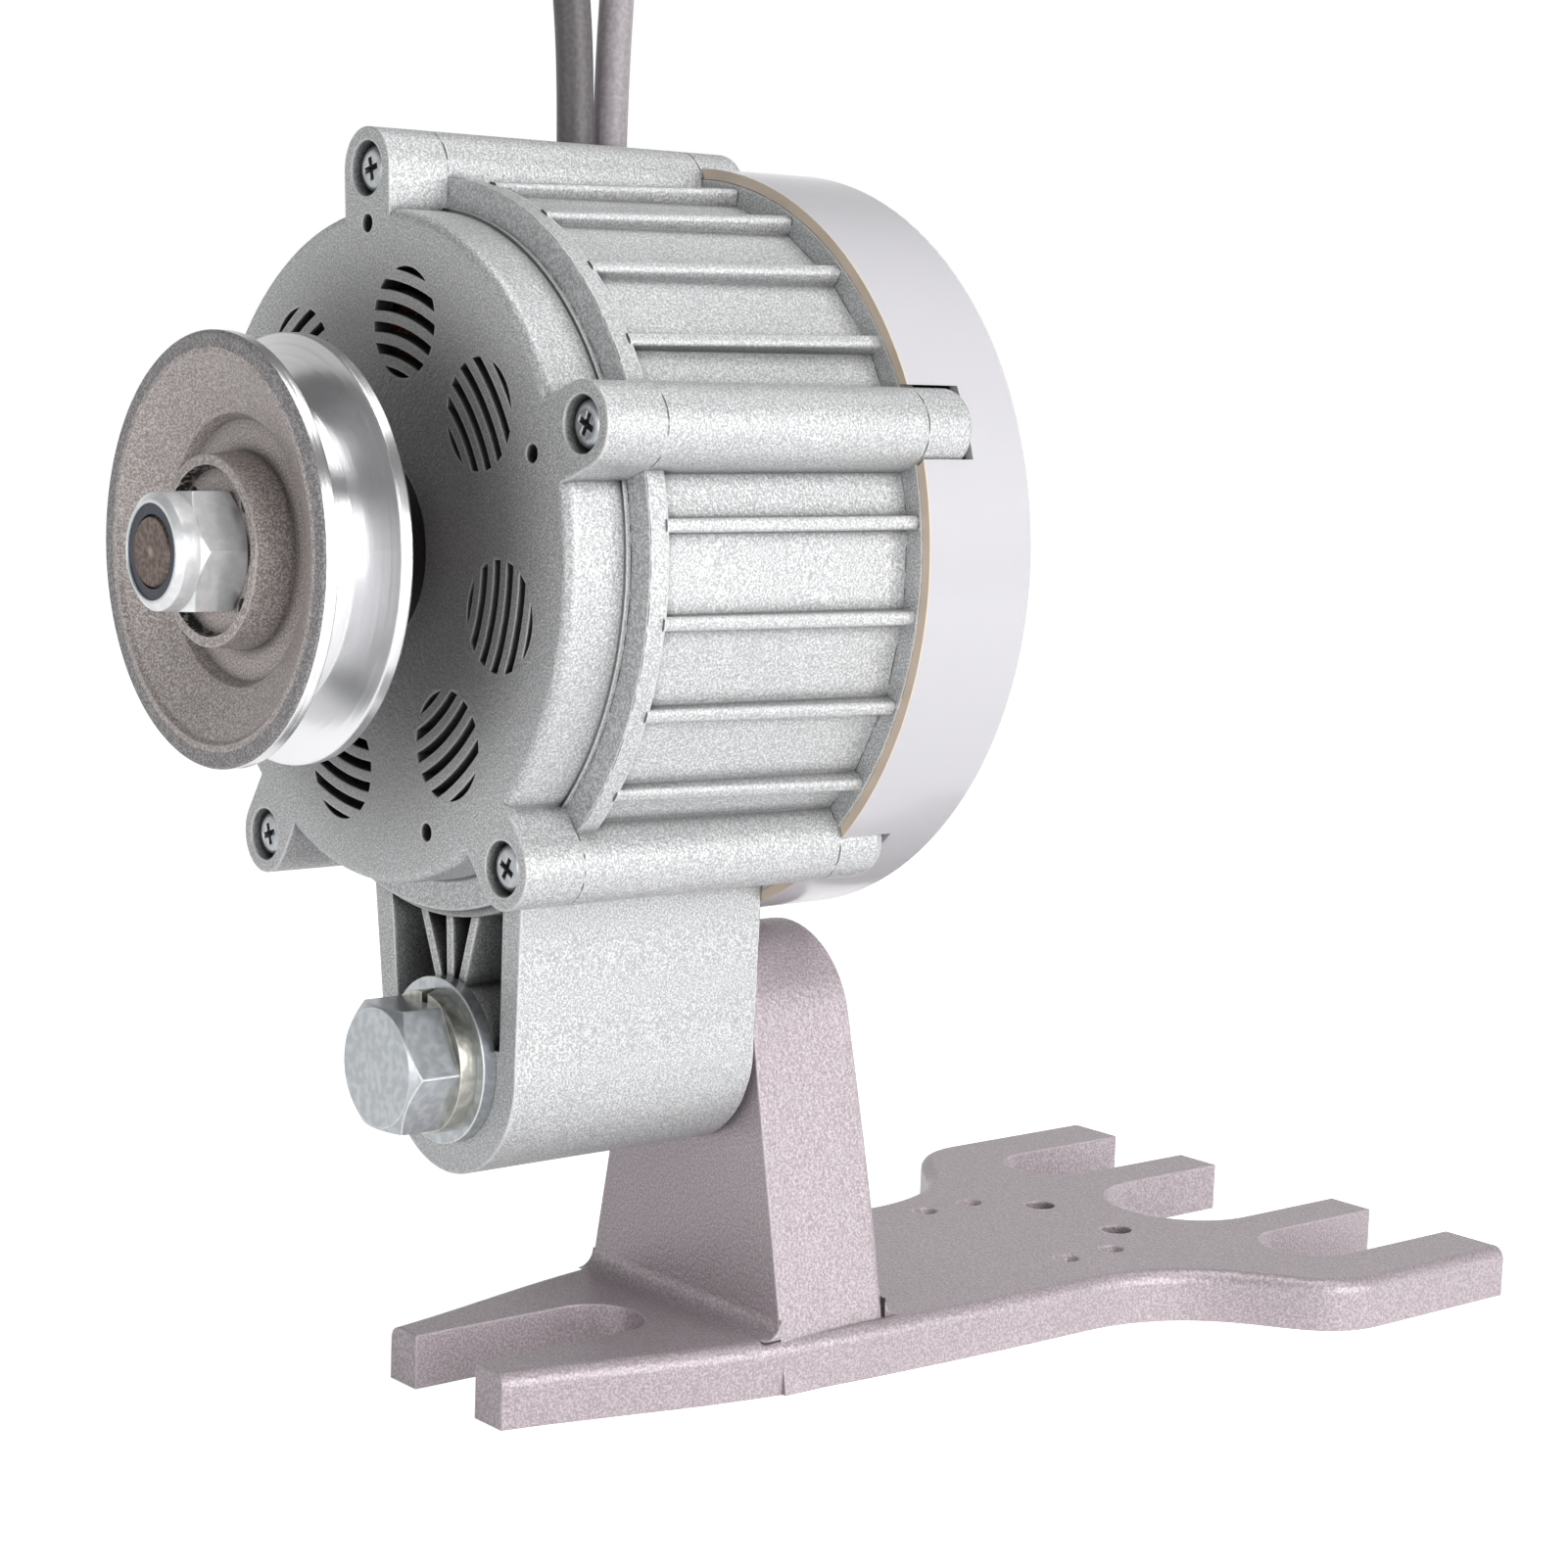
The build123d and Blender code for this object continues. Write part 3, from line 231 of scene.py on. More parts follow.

# Painted light on edges and in hollows: a pale painted highlight along outer edges, found by how far a
# rounded normal turns from the true one, and painted shade in creases and deep hollows, found by how open
# the surface is around a spot.
edge_starts = 0.995
edge_full = 0.86
crease_starts = 0.90
crease_full = 0.46
hollow_starts = 0.52
hollow_full = 0.24
edge_light_and_shade = bpy.data.node_groups.new("edge_light_and_shade", "ShaderNodeTree")
for name, size in (("Edge Radius", 0.0006), ("Crease Reach", 0.0025), ("Hollow Reach", 0.014)):
    socket = edge_light_and_shade.interface.new_socket(name, in_out="INPUT", socket_type="NodeSocketFloat")
    socket.default_value = size
for name in ("Edge", "Crease", "Hollow"):
    edge_light_and_shade.interface.new_socket(name, in_out="OUTPUT", socket_type="NodeSocketFloat")
edge_light_and_shade.interface.new_socket("Normal", in_out="OUTPUT", socket_type="NodeSocketVector")
shading_in = edge_light_and_shade.nodes.new("NodeGroupInput")
shading_out = edge_light_and_shade.nodes.new("NodeGroupOutput")


def open_share(reach):
    """How open the surface is around a spot, out to a reach."""
    probe = edge_light_and_shade.nodes.new("ShaderNodeAmbientOcclusion")
    probe.samples = 6
    probe.only_local = True
    edge_light_and_shade.links.new(reach, probe.inputs["Distance"])
    return probe.outputs["AO"]


rounded = edge_light_and_shade.nodes.new("ShaderNodeBevel")
rounded.samples = 4
edge_light_and_shade.links.new(shading_in.outputs["Edge Radius"], rounded.inputs["Radius"])
surface = edge_light_and_shade.nodes.new("ShaderNodeNewGeometry")
agreement = vector_value(edge_light_and_shade, "DOT_PRODUCT", rounded.outputs[0], surface.outputs["Normal"])
any_edge = ranged(edge_light_and_shade, agreement, edge_starts, edge_full)
crease = ranged(edge_light_and_shade, open_share(shading_in.outputs["Crease Reach"]), crease_starts, crease_full)
hollow_shade = ranged(edge_light_and_shade, open_share(shading_in.outputs["Hollow Reach"]), hollow_starts, hollow_full)
outer_edge = math_value(edge_light_and_shade, "SUBTRACT", any_edge, crease, clamp=True)
edge_light_and_shade.links.new(outer_edge, shading_out.inputs["Edge"])
edge_light_and_shade.links.new(crease, shading_out.inputs["Crease"])
edge_light_and_shade.links.new(hollow_shade, shading_out.inputs["Hollow"])
edge_light_and_shade.links.new(rounded.outputs[0], shading_out.inputs["Normal"])


def new_finish(name, color, metallic, roughness, coat=0.0):
    """A material whose even values stand on the shader's own sockets."""
    finish = bpy.data.materials.new(name)
    finish.use_nodes = True
    shader = finish.node_tree.nodes["Principled BSDF"]
    shader.inputs["Base Color"].default_value = (*color, 1)
    shader.inputs["Metallic"].default_value = metallic
    shader.inputs["Roughness"].default_value = roughness
    shader.inputs["Coat Weight"].default_value = coat
    return finish


def add_grain(
    finish, grain, fleck, patch, depth, light, dark,
    edge=0.0, edge_highlight=None, crease_shade=None, reach=0.0025, hollow_shade=None,
):
    """Casting grain on a finish, with painted edge highlights and painted shade in creases and hollows where
    an edge is given.

    The first three sizes are those of the bumps, of the flecks of colour and of
    the slow patches, and depth is how far the bumps stand out.
    """
    patch_share = 0.22
    bump_strength = 0.6
    tree = finish.node_tree
    shader = tree.nodes["Principled BSDF"]
    place = tree.nodes.new("ShaderNodeTexCoord")
    group = tree.nodes.new("ShaderNodeGroup")
    group.node_tree = casting_grain
    group.inputs["Grain Size"].default_value = grain
    group.inputs["Fleck Size"].default_value = fleck
    group.inputs["Patch Size"].default_value = patch
    tree.links.new(place.outputs["Object"], group.inputs["Vector"])
    color = blend(tree, group.outputs["Fleck"], dark, light)
    slow = ranged(tree, group.outputs["Patch"], 0.0, 1.0, 0.0, patch_share)
    color = blend(tree, slow, color, dark)
    bump = tree.nodes.new("ShaderNodeBump")
    bump.inputs["Distance"].default_value = depth
    bump.inputs["Strength"].default_value = bump_strength
    tree.links.new(group.outputs["Grain"], bump.inputs["Height"])
    # Painted light: the edge colour is a painted highlight, and the crease and hollow colours are painted
    # shade.
    if edge > 0:
        edge_shading = tree.nodes.new("ShaderNodeGroup")
        edge_shading.node_tree = edge_light_and_shade
        edge_shading.inputs["Edge Radius"].default_value = edge
        edge_shading.inputs["Crease Reach"].default_value = reach
        color = blend(tree, edge_shading.outputs["Edge"], color, edge_highlight)
        color = blend(tree, edge_shading.outputs["Crease"], color, crease_shade)
        if hollow_shade is not None:
            color = blend(tree, edge_shading.outputs["Hollow"], color, hollow_shade)
        tree.links.new(edge_shading.outputs["Normal"], bump.inputs["Normal"])
    tree.links.new(color, shader.inputs["Base Color"])
    tree.links.new(bump.outputs["Normal"], shader.inputs["Normal"])
    return group


def dress(finish, *nodes):
    """Gives CAD nodes' objects their finish."""
    for node in nodes:
        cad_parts[node].data.materials.clear()
        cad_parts[node].data.materials.append(finish)


bracket_paint = new_finish("bracket_paint", (0.48, 0.42, 0.45), metallic=0.25, roughness=0.34)
add_grain(
    bracket_paint, grain=0.0009, fleck=0.00042, patch=0.03, depth=0.00012,
    light=(0.56, 0.495, 0.533), dark=(0.37, 0.317, 0.336),
    edge=0.0007, edge_highlight=(0.68, 0.62, 0.65), crease_shade=(0.14, 0.115, 0.12),
)
dress(bracket_paint, "bracket")

# Hinge bolt and its washers. The bolt and the flat washer are zinc-plated steel
# gone dull in patches, the split spring washer is a little yellow, and the washer
# at the upright is dark plastic.
zinc = new_finish("zinc_plate", (0.48, 0.50, 0.52), metallic=0.8, roughness=0.26)
# Its edges get a bright painted highlight and its creases painted shade.
add_grain(
    zinc, grain=0.0014, fleck=0.0016, patch=0.006, depth=0.00002,
    light=(0.51, 0.535, 0.555), dark=(0.41, 0.435, 0.455),
    edge=0.0005, edge_highlight=(0.95, 0.95, 0.95), crease_shade=(0.20, 0.20, 0.20), reach=0.0015,
)
zinc_yellow = new_finish("yellow_zinc_plate", (0.58, 0.565, 0.49), metallic=1.0, roughness=0.32)
# Its edges and creases get a faint painted highlight and painted shade in the grain's own light and dark.
add_grain(
    zinc_yellow, grain=0.0010, fleck=0.0018, patch=0.008, depth=0.00004,
    light=(0.64, 0.63, 0.57), dark=(0.46, 0.45, 0.40),
    edge=0.0003, edge_highlight=(0.64, 0.63, 0.57), crease_shade=(0.46, 0.45, 0.40),
)
washer_plastic = new_finish("washer_plastic", (0.03, 0.03, 0.033), metallic=0.0, roughness=0.55)
add_grain(
    washer_plastic, grain=0.0006, fleck=0.0005, patch=0.01, depth=0.00005,
    light=(0.036, 0.036, 0.04), dark=(0.022, 0.022, 0.025),
)
dress(zinc, "hinge_bolt", "flat_washer")
dress(zinc_yellow, "spring_washer")
dress(washer_plastic, "thrust_washer")

# Motor castings: the ribbed body and the rear shield, with the paint that the
# front bell shares. Die-cast alloy under silver paint full of fine bright flecks,
# with a thin broken dark line round the bosses where one casting meets the next.
silver_paint = new_finish("silver_paint", (0.58, 0.585, 0.59), metallic=0.35, roughness=0.44)
# Its edges get a bright painted highlight, and its creases and deep hollows, such as the vents, get painted
# shade.
add_grain(
    silver_paint, grain=0.0008, fleck=0.00034, patch=0.03, depth=0.00012,
    light=(0.72, 0.725, 0.73), dark=(0.40, 0.405, 0.41),
    edge=0.0008, edge_highlight=(0.97, 0.97, 0.972), crease_shade=(0.045, 0.045, 0.047), reach=0.003,
    hollow_shade=(0.022, 0.022, 0.021),
)


def tint(finish, mask, color):
    """Lays a colour, or a node's colour, over a finish where a mask shows it."""
    tree = finish.node_tree
    shader = tree.nodes["Principled BSDF"]
    under = shader.inputs["Base Color"].links[0].from_socket
    tree.links.new(blend(tree, mask, under, color), shader.inputs["Base Color"])


bell_joint_y = -0.0546
shield_joint_y = -0.0014
seam_half_width = 0.0002
seam_noise_scale = 420.0
seam_starts = 0.40
seam_full = 0.55
seam_strength = 0.85
seam_color = (0.09, 0.09, 0.09)
most_along_motor = 0.5
paint_tree = silver_paint.node_tree
paint_spot = paint_tree.nodes.new("ShaderNodeTexCoord").outputs["Object"]
paint_axes = paint_tree.nodes.new("ShaderNodeSeparateXYZ")
paint_tree.links.new(paint_spot, paint_axes.inputs[0])
at_bell = math_value(paint_tree, "COMPARE", paint_axes.outputs["Y"], bell_joint_y, seam_half_width)
at_shield = math_value(paint_tree, "COMPARE", paint_axes.outputs["Y"], shield_joint_y, seam_half_width)
at_joint = math_value(paint_tree, "MAXIMUM", at_bell, at_shield)
seam_noise = paint_tree.nodes.new("ShaderNodeTexNoise")
seam_noise.inputs["Scale"].default_value = seam_noise_scale
paint_tree.links.new(paint_spot, seam_noise.inputs["Vector"])
seam_breaks = ranged(paint_tree, seam_noise.outputs["Fac"], seam_starts, seam_full, 0.0, seam_strength)
paint_surface = paint_tree.nodes.new("ShaderNodeNewGeometry")
along_motor = vector_value(paint_tree, "DOT_PRODUCT", paint_surface.outputs["Normal"], (0, 1, 0))
on_side = math_value(paint_tree, "COMPARE", along_motor, 0.0, most_along_motor)
seam_mask = math_value(paint_tree, "MULTIPLY", on_side, seam_breaks)
seam_mask = math_value(paint_tree, "MULTIPLY", at_joint, seam_mask)
tint(silver_paint, seam_mask, seam_color)
dress(silver_paint, "motor_body", "rear_shield")

# Front bell. The same casting and paint, but its face is darkened close behind
# the pulley in a soft ring about the motor's axis, a painted shadow of the pulley.
# So it has a copy of the paint with that painted shadow.
hinge_height = 0.06106
axis_above_hinge = 0.0868
lean = radians(-3.36)
motor_place = (
    Matrix.Translation((0, 0, hinge_height))
    @ Matrix.Rotation(lean, 4, "Y")
    @ Matrix.Translation((0, 0, axis_above_hinge))
)
axis_x = motor_place.translation.x
axis_z = motor_place.translation.z
bell_face_y = -0.066
painted_shadow_outer_radius = 0.056
painted_shadow_inner_radius = 0.036
painted_shadow_strength = 0.62
painted_shadow_color = (0.07, 0.068, 0.07)
shadowed_paint = silver_paint.copy()
shadowed_paint.name = "dusty_silver_paint"
shadow_tree = shadowed_paint.node_tree
shadow_spot = shadow_tree.nodes.new("ShaderNodeTexCoord").outputs["Object"]
shadow_away = vector_value(shadow_tree, "DISTANCE", shadow_spot, (axis_x, bell_face_y, axis_z))
# The ring is painted shadow: it darkens the bell's face round the pulley.
painted_shadow_ring = ranged(
    shadow_tree, shadow_away, painted_shadow_outer_radius, painted_shadow_inner_radius, 0.0, painted_shadow_strength, smooth=True
)
tint(shadowed_paint, painted_shadow_ring, painted_shadow_color)
dress(shadowed_paint, "front_bell")

# Rear cover. A glossy white moulding, pushed up against the shield. Its cut
# front edge shows as tan board.
gloss_white = (0.56, 0.55, 0.575)
tan_board = (0.72, 0.60, 0.48)
cut_edge_y = -0.0011
cover_white = new_finish("cover_white", gloss_white, metallic=0.0, roughness=0.2, coat=0.3)
cover_tree = cover_white.node_tree
cover_spot = cover_tree.nodes.new("ShaderNodeTexCoord").outputs["Object"]
cover_axes = cover_tree.nodes.new("ShaderNodeSeparateXYZ")
cover_tree.links.new(cover_spot, cover_axes.inputs[0])
cover_edge = math_value(cover_tree, "LESS_THAN", cover_axes.outputs["Y"], cut_edge_y)
cover_color = blend(cover_tree, cover_edge, gloss_white, tan_board)
cover_tree.links.new(cover_color, cover_tree.nodes["Principled BSDF"].inputs["Base Color"])
dress(cover_white, "rear_cover")

# Shaft seal and cable grommet. Plain black rubber with a soft bloom, pressed
# into their seats in the castings.
black_rubber = new_finish("black_rubber", (0.018, 0.018, 0.02), metallic=0.0, roughness=0.6)
add_grain(
    black_rubber, grain=0.0007, fleck=0.0006, patch=0.01, depth=0.00008,
    light=(0.024, 0.024, 0.026), dark=(0.012, 0.012, 0.014),
)
dress(black_rubber, "cable_grommet", "shaft_seal")


# Body screws. Five zinc pan-head screws with a cross recess, sunk in the bell's
# bosses. One screw is turned and its recess cut, and the tree sets five of it out
# round the motor's axis, each turned by its own amount.
def cross_head(
    name, head_radius, head_height, shank_radius, shank_length, cross_reach, cross_width, cross_depth
):
    """A domed screw head about Z, top at z = 0, with its shank below it."""
    flat_share = 0.55
    dome_share = 0.55
    dome_steps = 7
    around = 40
    cross_taper = 0.62
    outline = [(0.0, 0.0)]
    for k in range(dome_steps + 1):
        turn = pi / 2 * k / dome_steps
        r = head_radius * (flat_share + (1 - flat_share) * sin(turn))
        outline.append((r, -head_height * dome_share * (1 - cos(turn))))
    outline += [
        (head_radius, -head_height),
        (shank_radius, -head_height),
        (shank_radius, -head_height - shank_length),
        (0.0, -head_height - shank_length),
    ]
    turns = [2 * pi * k / around for k in range(around)]
    mesh = bpy.data.meshes.new(name)
    work = bmesh.new()
    rings = []
    for r, z in outline:
        if r == 0.0:
            rings.append([work.verts.new((0, 0, z))])
        else:
            rings.append([work.verts.new((r * cos(turn), r * sin(turn), z)) for turn in turns])
    for upper, lower in zip(rings, rings[1:]):
        for k in range(around):
            n = (k + 1) % around
            if len(upper) == 1:
                work.faces.new((upper[0], lower[k], lower[n]))
            elif len(lower) == 1:
                work.faces.new((upper[k], lower[0], upper[n]))
            else:
                work.faces.new((upper[k], lower[k], lower[n], upper[n]))
    bmesh.ops.recalc_face_normals(work, faces=work.faces)
    work.to_mesh(mesh)
    work.free()
    head = bpy.data.objects.new(name, mesh)
    bpy.context.scene.collection.objects.link(head)
    cutter_mesh = bpy.data.meshes.new(name + "_cross")
    work = bmesh.new()
    for turn in (0, 90):
        bar = bmesh.ops.create_cube(work, size=1)["verts"]
        for v in bar:
            taper = 1.0 if v.co.z > 0 else cross_taper
            x = v.co.x * 2 * cross_reach * taper
            y = v.co.y * cross_width * taper
            v.co = Vector((x, y, v.co.z * 2 * cross_depth))
        bmesh.ops.rotate(work, verts=bar, matrix=Matrix.Rotation(radians(turn), 3, "Z"))
    work.to_mesh(cutter_mesh)
    work.free()
    cutter = bpy.data.objects.new(name + "_cross", cutter_mesh)
    bpy.context.scene.collection.objects.link(cutter)
    cut = head.modifiers.new("cross", "BOOLEAN")
    cut.object = cutter
    cut.operation = "DIFFERENCE"
    cut.use_self = True
    bpy.context.view_layer.update()
    made = bpy.data.meshes.new_from_object(head.evaluated_get(bpy.context.evaluated_depsgraph_get()))
    head.modifiers.clear()
    head.data = made
    bpy.data.objects.remove(cutter)
    return head


screw_circle = bpy.data.node_groups.new("screw_circle", "GeometryNodeTree")
screw_circle.is_modifier = True
for name, kind in (
    ("Geometry", "NodeSocketGeometry"),
    ("Screw", "NodeSocketObject"),
    ("Count", "NodeSocketInt"),
    ("Circle Radius", "NodeSocketFloat"),
    ("First Angle", "NodeSocketFloat"),
    ("Turn Spread", "NodeSocketFloat"),
    ("Seed", "NodeSocketInt"),
    ("Finish", "NodeSocketMaterial"),
):
    screw_circle.interface.new_socket(name, in_out="INPUT", socket_type=kind)
screw_circle.interface.new_socket("Geometry", in_out="OUTPUT", socket_type="NodeSocketGeometry")
circle_in = screw_circle.nodes.new("NodeGroupInput")
circle_out = screw_circle.nodes.new("NodeGroupOutput")
points = screw_circle.nodes.new("GeometryNodePoints")
point_index = screw_circle.nodes.new("GeometryNodeInputIndex")
circle_spot = screw_circle.nodes.new("ShaderNodeCombineXYZ")
out_to_circle = screw_circle.nodes.new("ShaderNodeVectorMath")
out_to_circle.operation = "SCALE"
random_turn = screw_circle.nodes.new("FunctionNodeRandomValue")
most_turn = [s for s in random_turn.inputs if s.name == "Max" and s.type == "VALUE"][0]
own_turn = [s for s in random_turn.outputs if s.type == "VALUE"][0]
spin = screw_circle.nodes.new("ShaderNodeCombineXYZ")
screw_info = screw_circle.nodes.new("GeometryNodeObjectInfo")
set_out = screw_circle.nodes.new("GeometryNodeInstanceOnPoints")
realize = screw_circle.nodes.new("GeometryNodeRealizeInstances")
set_finish = screw_circle.nodes.new("GeometryNodeSetMaterial")
share = math_value(screw_circle, "DIVIDE", point_index.outputs[0], circle_in.outputs["Count"])
turn = math_value(screw_circle, "MULTIPLY_ADD", share, 2 * pi, circle_in.outputs["First Angle"])
across = math_value(screw_circle, "COSINE", turn)
along = math_value(screw_circle, "SINE", turn)
for output, socket in (
    (circle_in.outputs["Count"], points.inputs["Count"]),
    (across, circle_spot.inputs["X"]),
    (along, circle_spot.inputs["Y"]),
    (circle_spot.outputs[0], out_to_circle.inputs[0]),
    (circle_in.outputs["Circle Radius"], out_to_circle.inputs["Scale"]),
    (out_to_circle.outputs[0], points.inputs["Position"]),
    (circle_in.outputs["Screw"], screw_info.inputs["Object"]),
    (circle_in.outputs["Seed"], random_turn.inputs["Seed"]),
    (circle_in.outputs["Turn Spread"], most_turn),
    (own_turn, spin.inputs["Z"]),
    (points.outputs[0], set_out.inputs["Points"]),
    (screw_info.outputs["Geometry"], set_out.inputs["Instance"]),
    (spin.outputs[0], set_out.inputs["Rotation"]),
    (set_out.outputs[0], realize.inputs[0]),
    (realize.outputs[0], set_finish.inputs["Geometry"]),
    (circle_in.outputs["Finish"], set_finish.inputs["Material"]),
    (set_finish.outputs[0], circle_out.inputs["Geometry"]),
):
    screw_circle.links.new(output, socket)


def grown_mesh(name, tree, values, place):
    """A plain mesh from a geometry tree with its named inputs, put in its place."""
    seed_mesh = bpy.data.meshes.new(name + "_seed")
    piece = bpy.data.objects.new(name, seed_mesh)
    bpy.context.scene.collection.objects.link(piece)
    grow = piece.modifiers.new("grow", "NODES")
    grow.node_group = tree
    for item in tree.interface.items_tree:
        if item.item_type == "SOCKET" and item.in_out == "INPUT" and item.name in values:
            grow[item.identifier] = values[item.name]
    bpy.context.view_layer.update()
    made = bpy.data.meshes.new_from_object(piece.evaluated_get(bpy.context.evaluated_depsgraph_get()))
    piece.modifiers.clear()
    piece.data = made
    made.transform(place)
    made.name = name
    return piece


# A circle drawn in X and Y is stood up so that its heads face the pulley end.
facing_front = Matrix.Rotation(radians(90), 4, "X")
body_head_y = -0.0652
body_screw = cross_head(
    "body_screw", head_radius=0.0039, head_height=0.0026, shank_radius=0.002, shank_length=0.0675,
    cross_reach=0.0024, cross_width=0.0013, cross_depth=0.0018,
)
body_screws = grown_mesh(
    "body_screws",
    screw_circle,
    {
        "Screw": body_screw,
        "Count": 5,
        "Circle Radius": 0.0621,
        "First Angle": radians(18.0),
        "Turn Spread": 1.5,
        "Seed": 4,
        "Finish": zinc,
    },
    motor_place @ Matrix.Translation((0, body_head_y, 0)) @ facing_front,
)
bpy.data.objects.remove(body_screw)
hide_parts("through_screws")
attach(body_screws, "motor")

# Cover screws. Three small zinc screws of the same make, driven in from behind,
# hold the cover to the shield's posts.
facing_rear = Matrix.Rotation(radians(-90), 4, "X")
cover_head_y = 0.0239
cover_screw = cross_head(
    "cover_screw", head_radius=0.0029, head_height=0.0019, shank_radius=0.0015, shank_length=0.0098,
    cross_reach=0.0016, cross_width=0.0007, cross_depth=0.0010,
)
cover_screws = grown_mesh(
    "cover_screws_set",
    screw_circle,
    {
        "Screw": cover_screw,
        "Count": 3,
        "Circle Radius": 0.046,
        "First Angle": radians(-90.0),
        "Turn Spread": 1.5,
        "Seed": 9,
        "Finish": zinc,
    },
    motor_place @ Matrix.Translation((0, cover_head_y, 0)) @ facing_rear,
)
bpy.data.objects.remove(cover_screw)
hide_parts("cover_screws")
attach(cover_screws, "motor")

# Pulley. Cast alloy, painted taupe on its face, darker and greyer on the flat rim,
# and turned bright in the belt groove, where the tool left fine rings. A broken
# dark line marks the edge of the nut's seat.
taupe_metallic = 0.3
taupe_roughness = 0.46
turned_metallic = 1.0
turned_roughness = 0.24
turned_color = (0.80, 0.80, 0.81)
turned_ring_height = 0.35
face_y = -0.0962
dish_radius = 0.0262
dish_slope = -0.43
dish_start_y = -0.0823
rim_radius = 0.0322
seat_edge_radius = 0.0134
seat_edge_half_width = 0.0003
seat_line_color = (0.03, 0.027, 0.025)
seat_line_scale = 900.0
seat_line_starts = 0.47
lathe_ring_scale = 2600.0
pulley_finish = new_finish("pulley_finish", (0.36, 0.32, 0.31), taupe_metallic, taupe_roughness)
# The painted face gets a painted highlight on its edges and painted shade in its creases.
pulley_group = add_grain(
    pulley_finish, grain=0.0008, fleck=0.00036, patch=0.02, depth=0.00011,
    light=(0.68, 0.615, 0.595), dark=(0.32, 0.285, 0.275),
    edge=0.0005, edge_highlight=(0.72, 0.67, 0.65), crease_shade=(0.06, 0.052, 0.05),
)
pulley_tree = pulley_finish.node_tree
pulley_spot = pulley_tree.nodes.new("ShaderNodeTexCoord").outputs["Object"]
pulley_axis = pulley_tree.nodes.new("ShaderNodeMapping")
pulley_axis.vector_type = "POINT"
pulley_axis.inputs["Location"].default_value = (-axis_x, 0, -axis_z)
pulley_axes = pulley_tree.nodes.new("ShaderNodeSeparateXYZ")
pulley_flat = pulley_tree.nodes.new("ShaderNodeCombineXYZ")
pulley_tree.links.new(pulley_spot, pulley_axis.inputs["Vector"])
pulley_tree.links.new(pulley_axis.outputs[0], pulley_axes.inputs[0])
pulley_tree.links.new(pulley_axes.outputs["X"], pulley_flat.inputs["X"])
pulley_tree.links.new(pulley_axes.outputs["Z"], pulley_flat.inputs["Y"])
pulley_y = pulley_axes.outputs["Y"]
pulley_radius = vector_value(pulley_tree, "LENGTH", pulley_flat.outputs[0])

outside_dish = math_value(pulley_tree, "GREATER_THAN", pulley_radius, dish_radius)
behind_face = math_value(pulley_tree, "GREATER_THAN", pulley_y, face_y)
dish_surface = math_value(pulley_tree, "MULTIPLY_ADD", pulley_radius, dish_slope, dish_start_y)
behind_dish = math_value(pulley_tree, "GREATER_THAN", pulley_y, dish_surface)
turned = math_value(pulley_tree, "MULTIPLY", behind_face, behind_dish)
turned = math_value(pulley_tree, "MULTIPLY", outside_dish, turned)
on_rim = math_value(pulley_tree, "GREATER_THAN", pulley_radius, rim_radius)
rim_steel = blend(pulley_tree, pulley_group.outputs["Fleck"], (0.19, 0.18, 0.182), (0.40, 0.385, 0.388))
at_seat = math_value(pulley_tree, "COMPARE", pulley_radius, seat_edge_radius, seat_edge_half_width)
crumbs = pulley_tree.nodes.new("ShaderNodeTexNoise")
crumbs.inputs["Scale"].default_value = seat_line_scale
crumbs.inputs["Detail"].default_value = 2.0
pulley_tree.links.new(pulley_axis.outputs[0], crumbs.inputs["Vector"])
broken = math_value(pulley_tree, "GREATER_THAN", crumbs.outputs["Fac"], seat_line_starts)
seat_line = math_value(pulley_tree, "MULTIPLY", at_seat, broken)
tint(pulley_finish, on_rim, rim_steel)
tint(pulley_finish, seat_line, seat_line_color)
tint(pulley_finish, turned, turned_color)

lathe_rings = pulley_tree.nodes.new("ShaderNodeTexNoise")
lathe_rings.noise_dimensions = "1D"
lathe_rings.inputs["Scale"].default_value = lathe_ring_scale
lathe_rings.inputs["Detail"].default_value = 2.0
pulley_tree.links.new(pulley_y, lathe_rings.inputs["W"])
ring_height = math_value(pulley_tree, "MULTIPLY", lathe_rings.outputs["Fac"], turned_ring_height)
pulley_height = blend(pulley_tree, turned, pulley_group.outputs["Grain"], ring_height, "FLOAT")
pulley_bump = [n for n in pulley_tree.nodes if n.bl_idname == "ShaderNodeBump"][0]
pulley_tree.links.new(pulley_height, pulley_bump.inputs["Height"])
for socket_name, painted_value, turned_value in (
    ("Metallic", taupe_metallic, turned_metallic),
    ("Roughness", taupe_roughness, turned_roughness),
):
    chosen = ranged(pulley_tree, turned, 0.0, 1.0, painted_value, turned_value)
    pulley_tree.links.new(chosen, pulley_tree.nodes["Principled BSDF"].inputs[socket_name])
dress(pulley_finish, "pulley")

# Shaft, key and nut. The turned steel has gone brown in the air and has a pale
# centre mark in the shaft's end. The nut is bright zinc plate, and a dark blue
# nylon ring in its collar grips the thread.
shaft_end_y = -0.107
centre_mark_radius = 0.0010
centre_mark_core = 0.0004
shaft_steel = new_finish("shaft_steel", (0.20, 0.15, 0.13), metallic=0.7, roughness=0.38)
add_grain(
    shaft_steel, grain=0.0006, fleck=0.0008, patch=0.004, depth=0.00005,
    light=(0.22, 0.165, 0.14), dark=(0.12, 0.085, 0.07),
)
shaft_tree = shaft_steel.node_tree
shaft_spot = shaft_tree.nodes.new("ShaderNodeTexCoord").outputs["Object"]
shaft_away = vector_value(shaft_tree, "DISTANCE", shaft_spot, (axis_x, shaft_end_y, axis_z))
centre_mark = ranged(shaft_tree, shaft_away, centre_mark_radius, centre_mark_core)
tint(shaft_steel, centre_mark, (0.36, 0.31, 0.27))
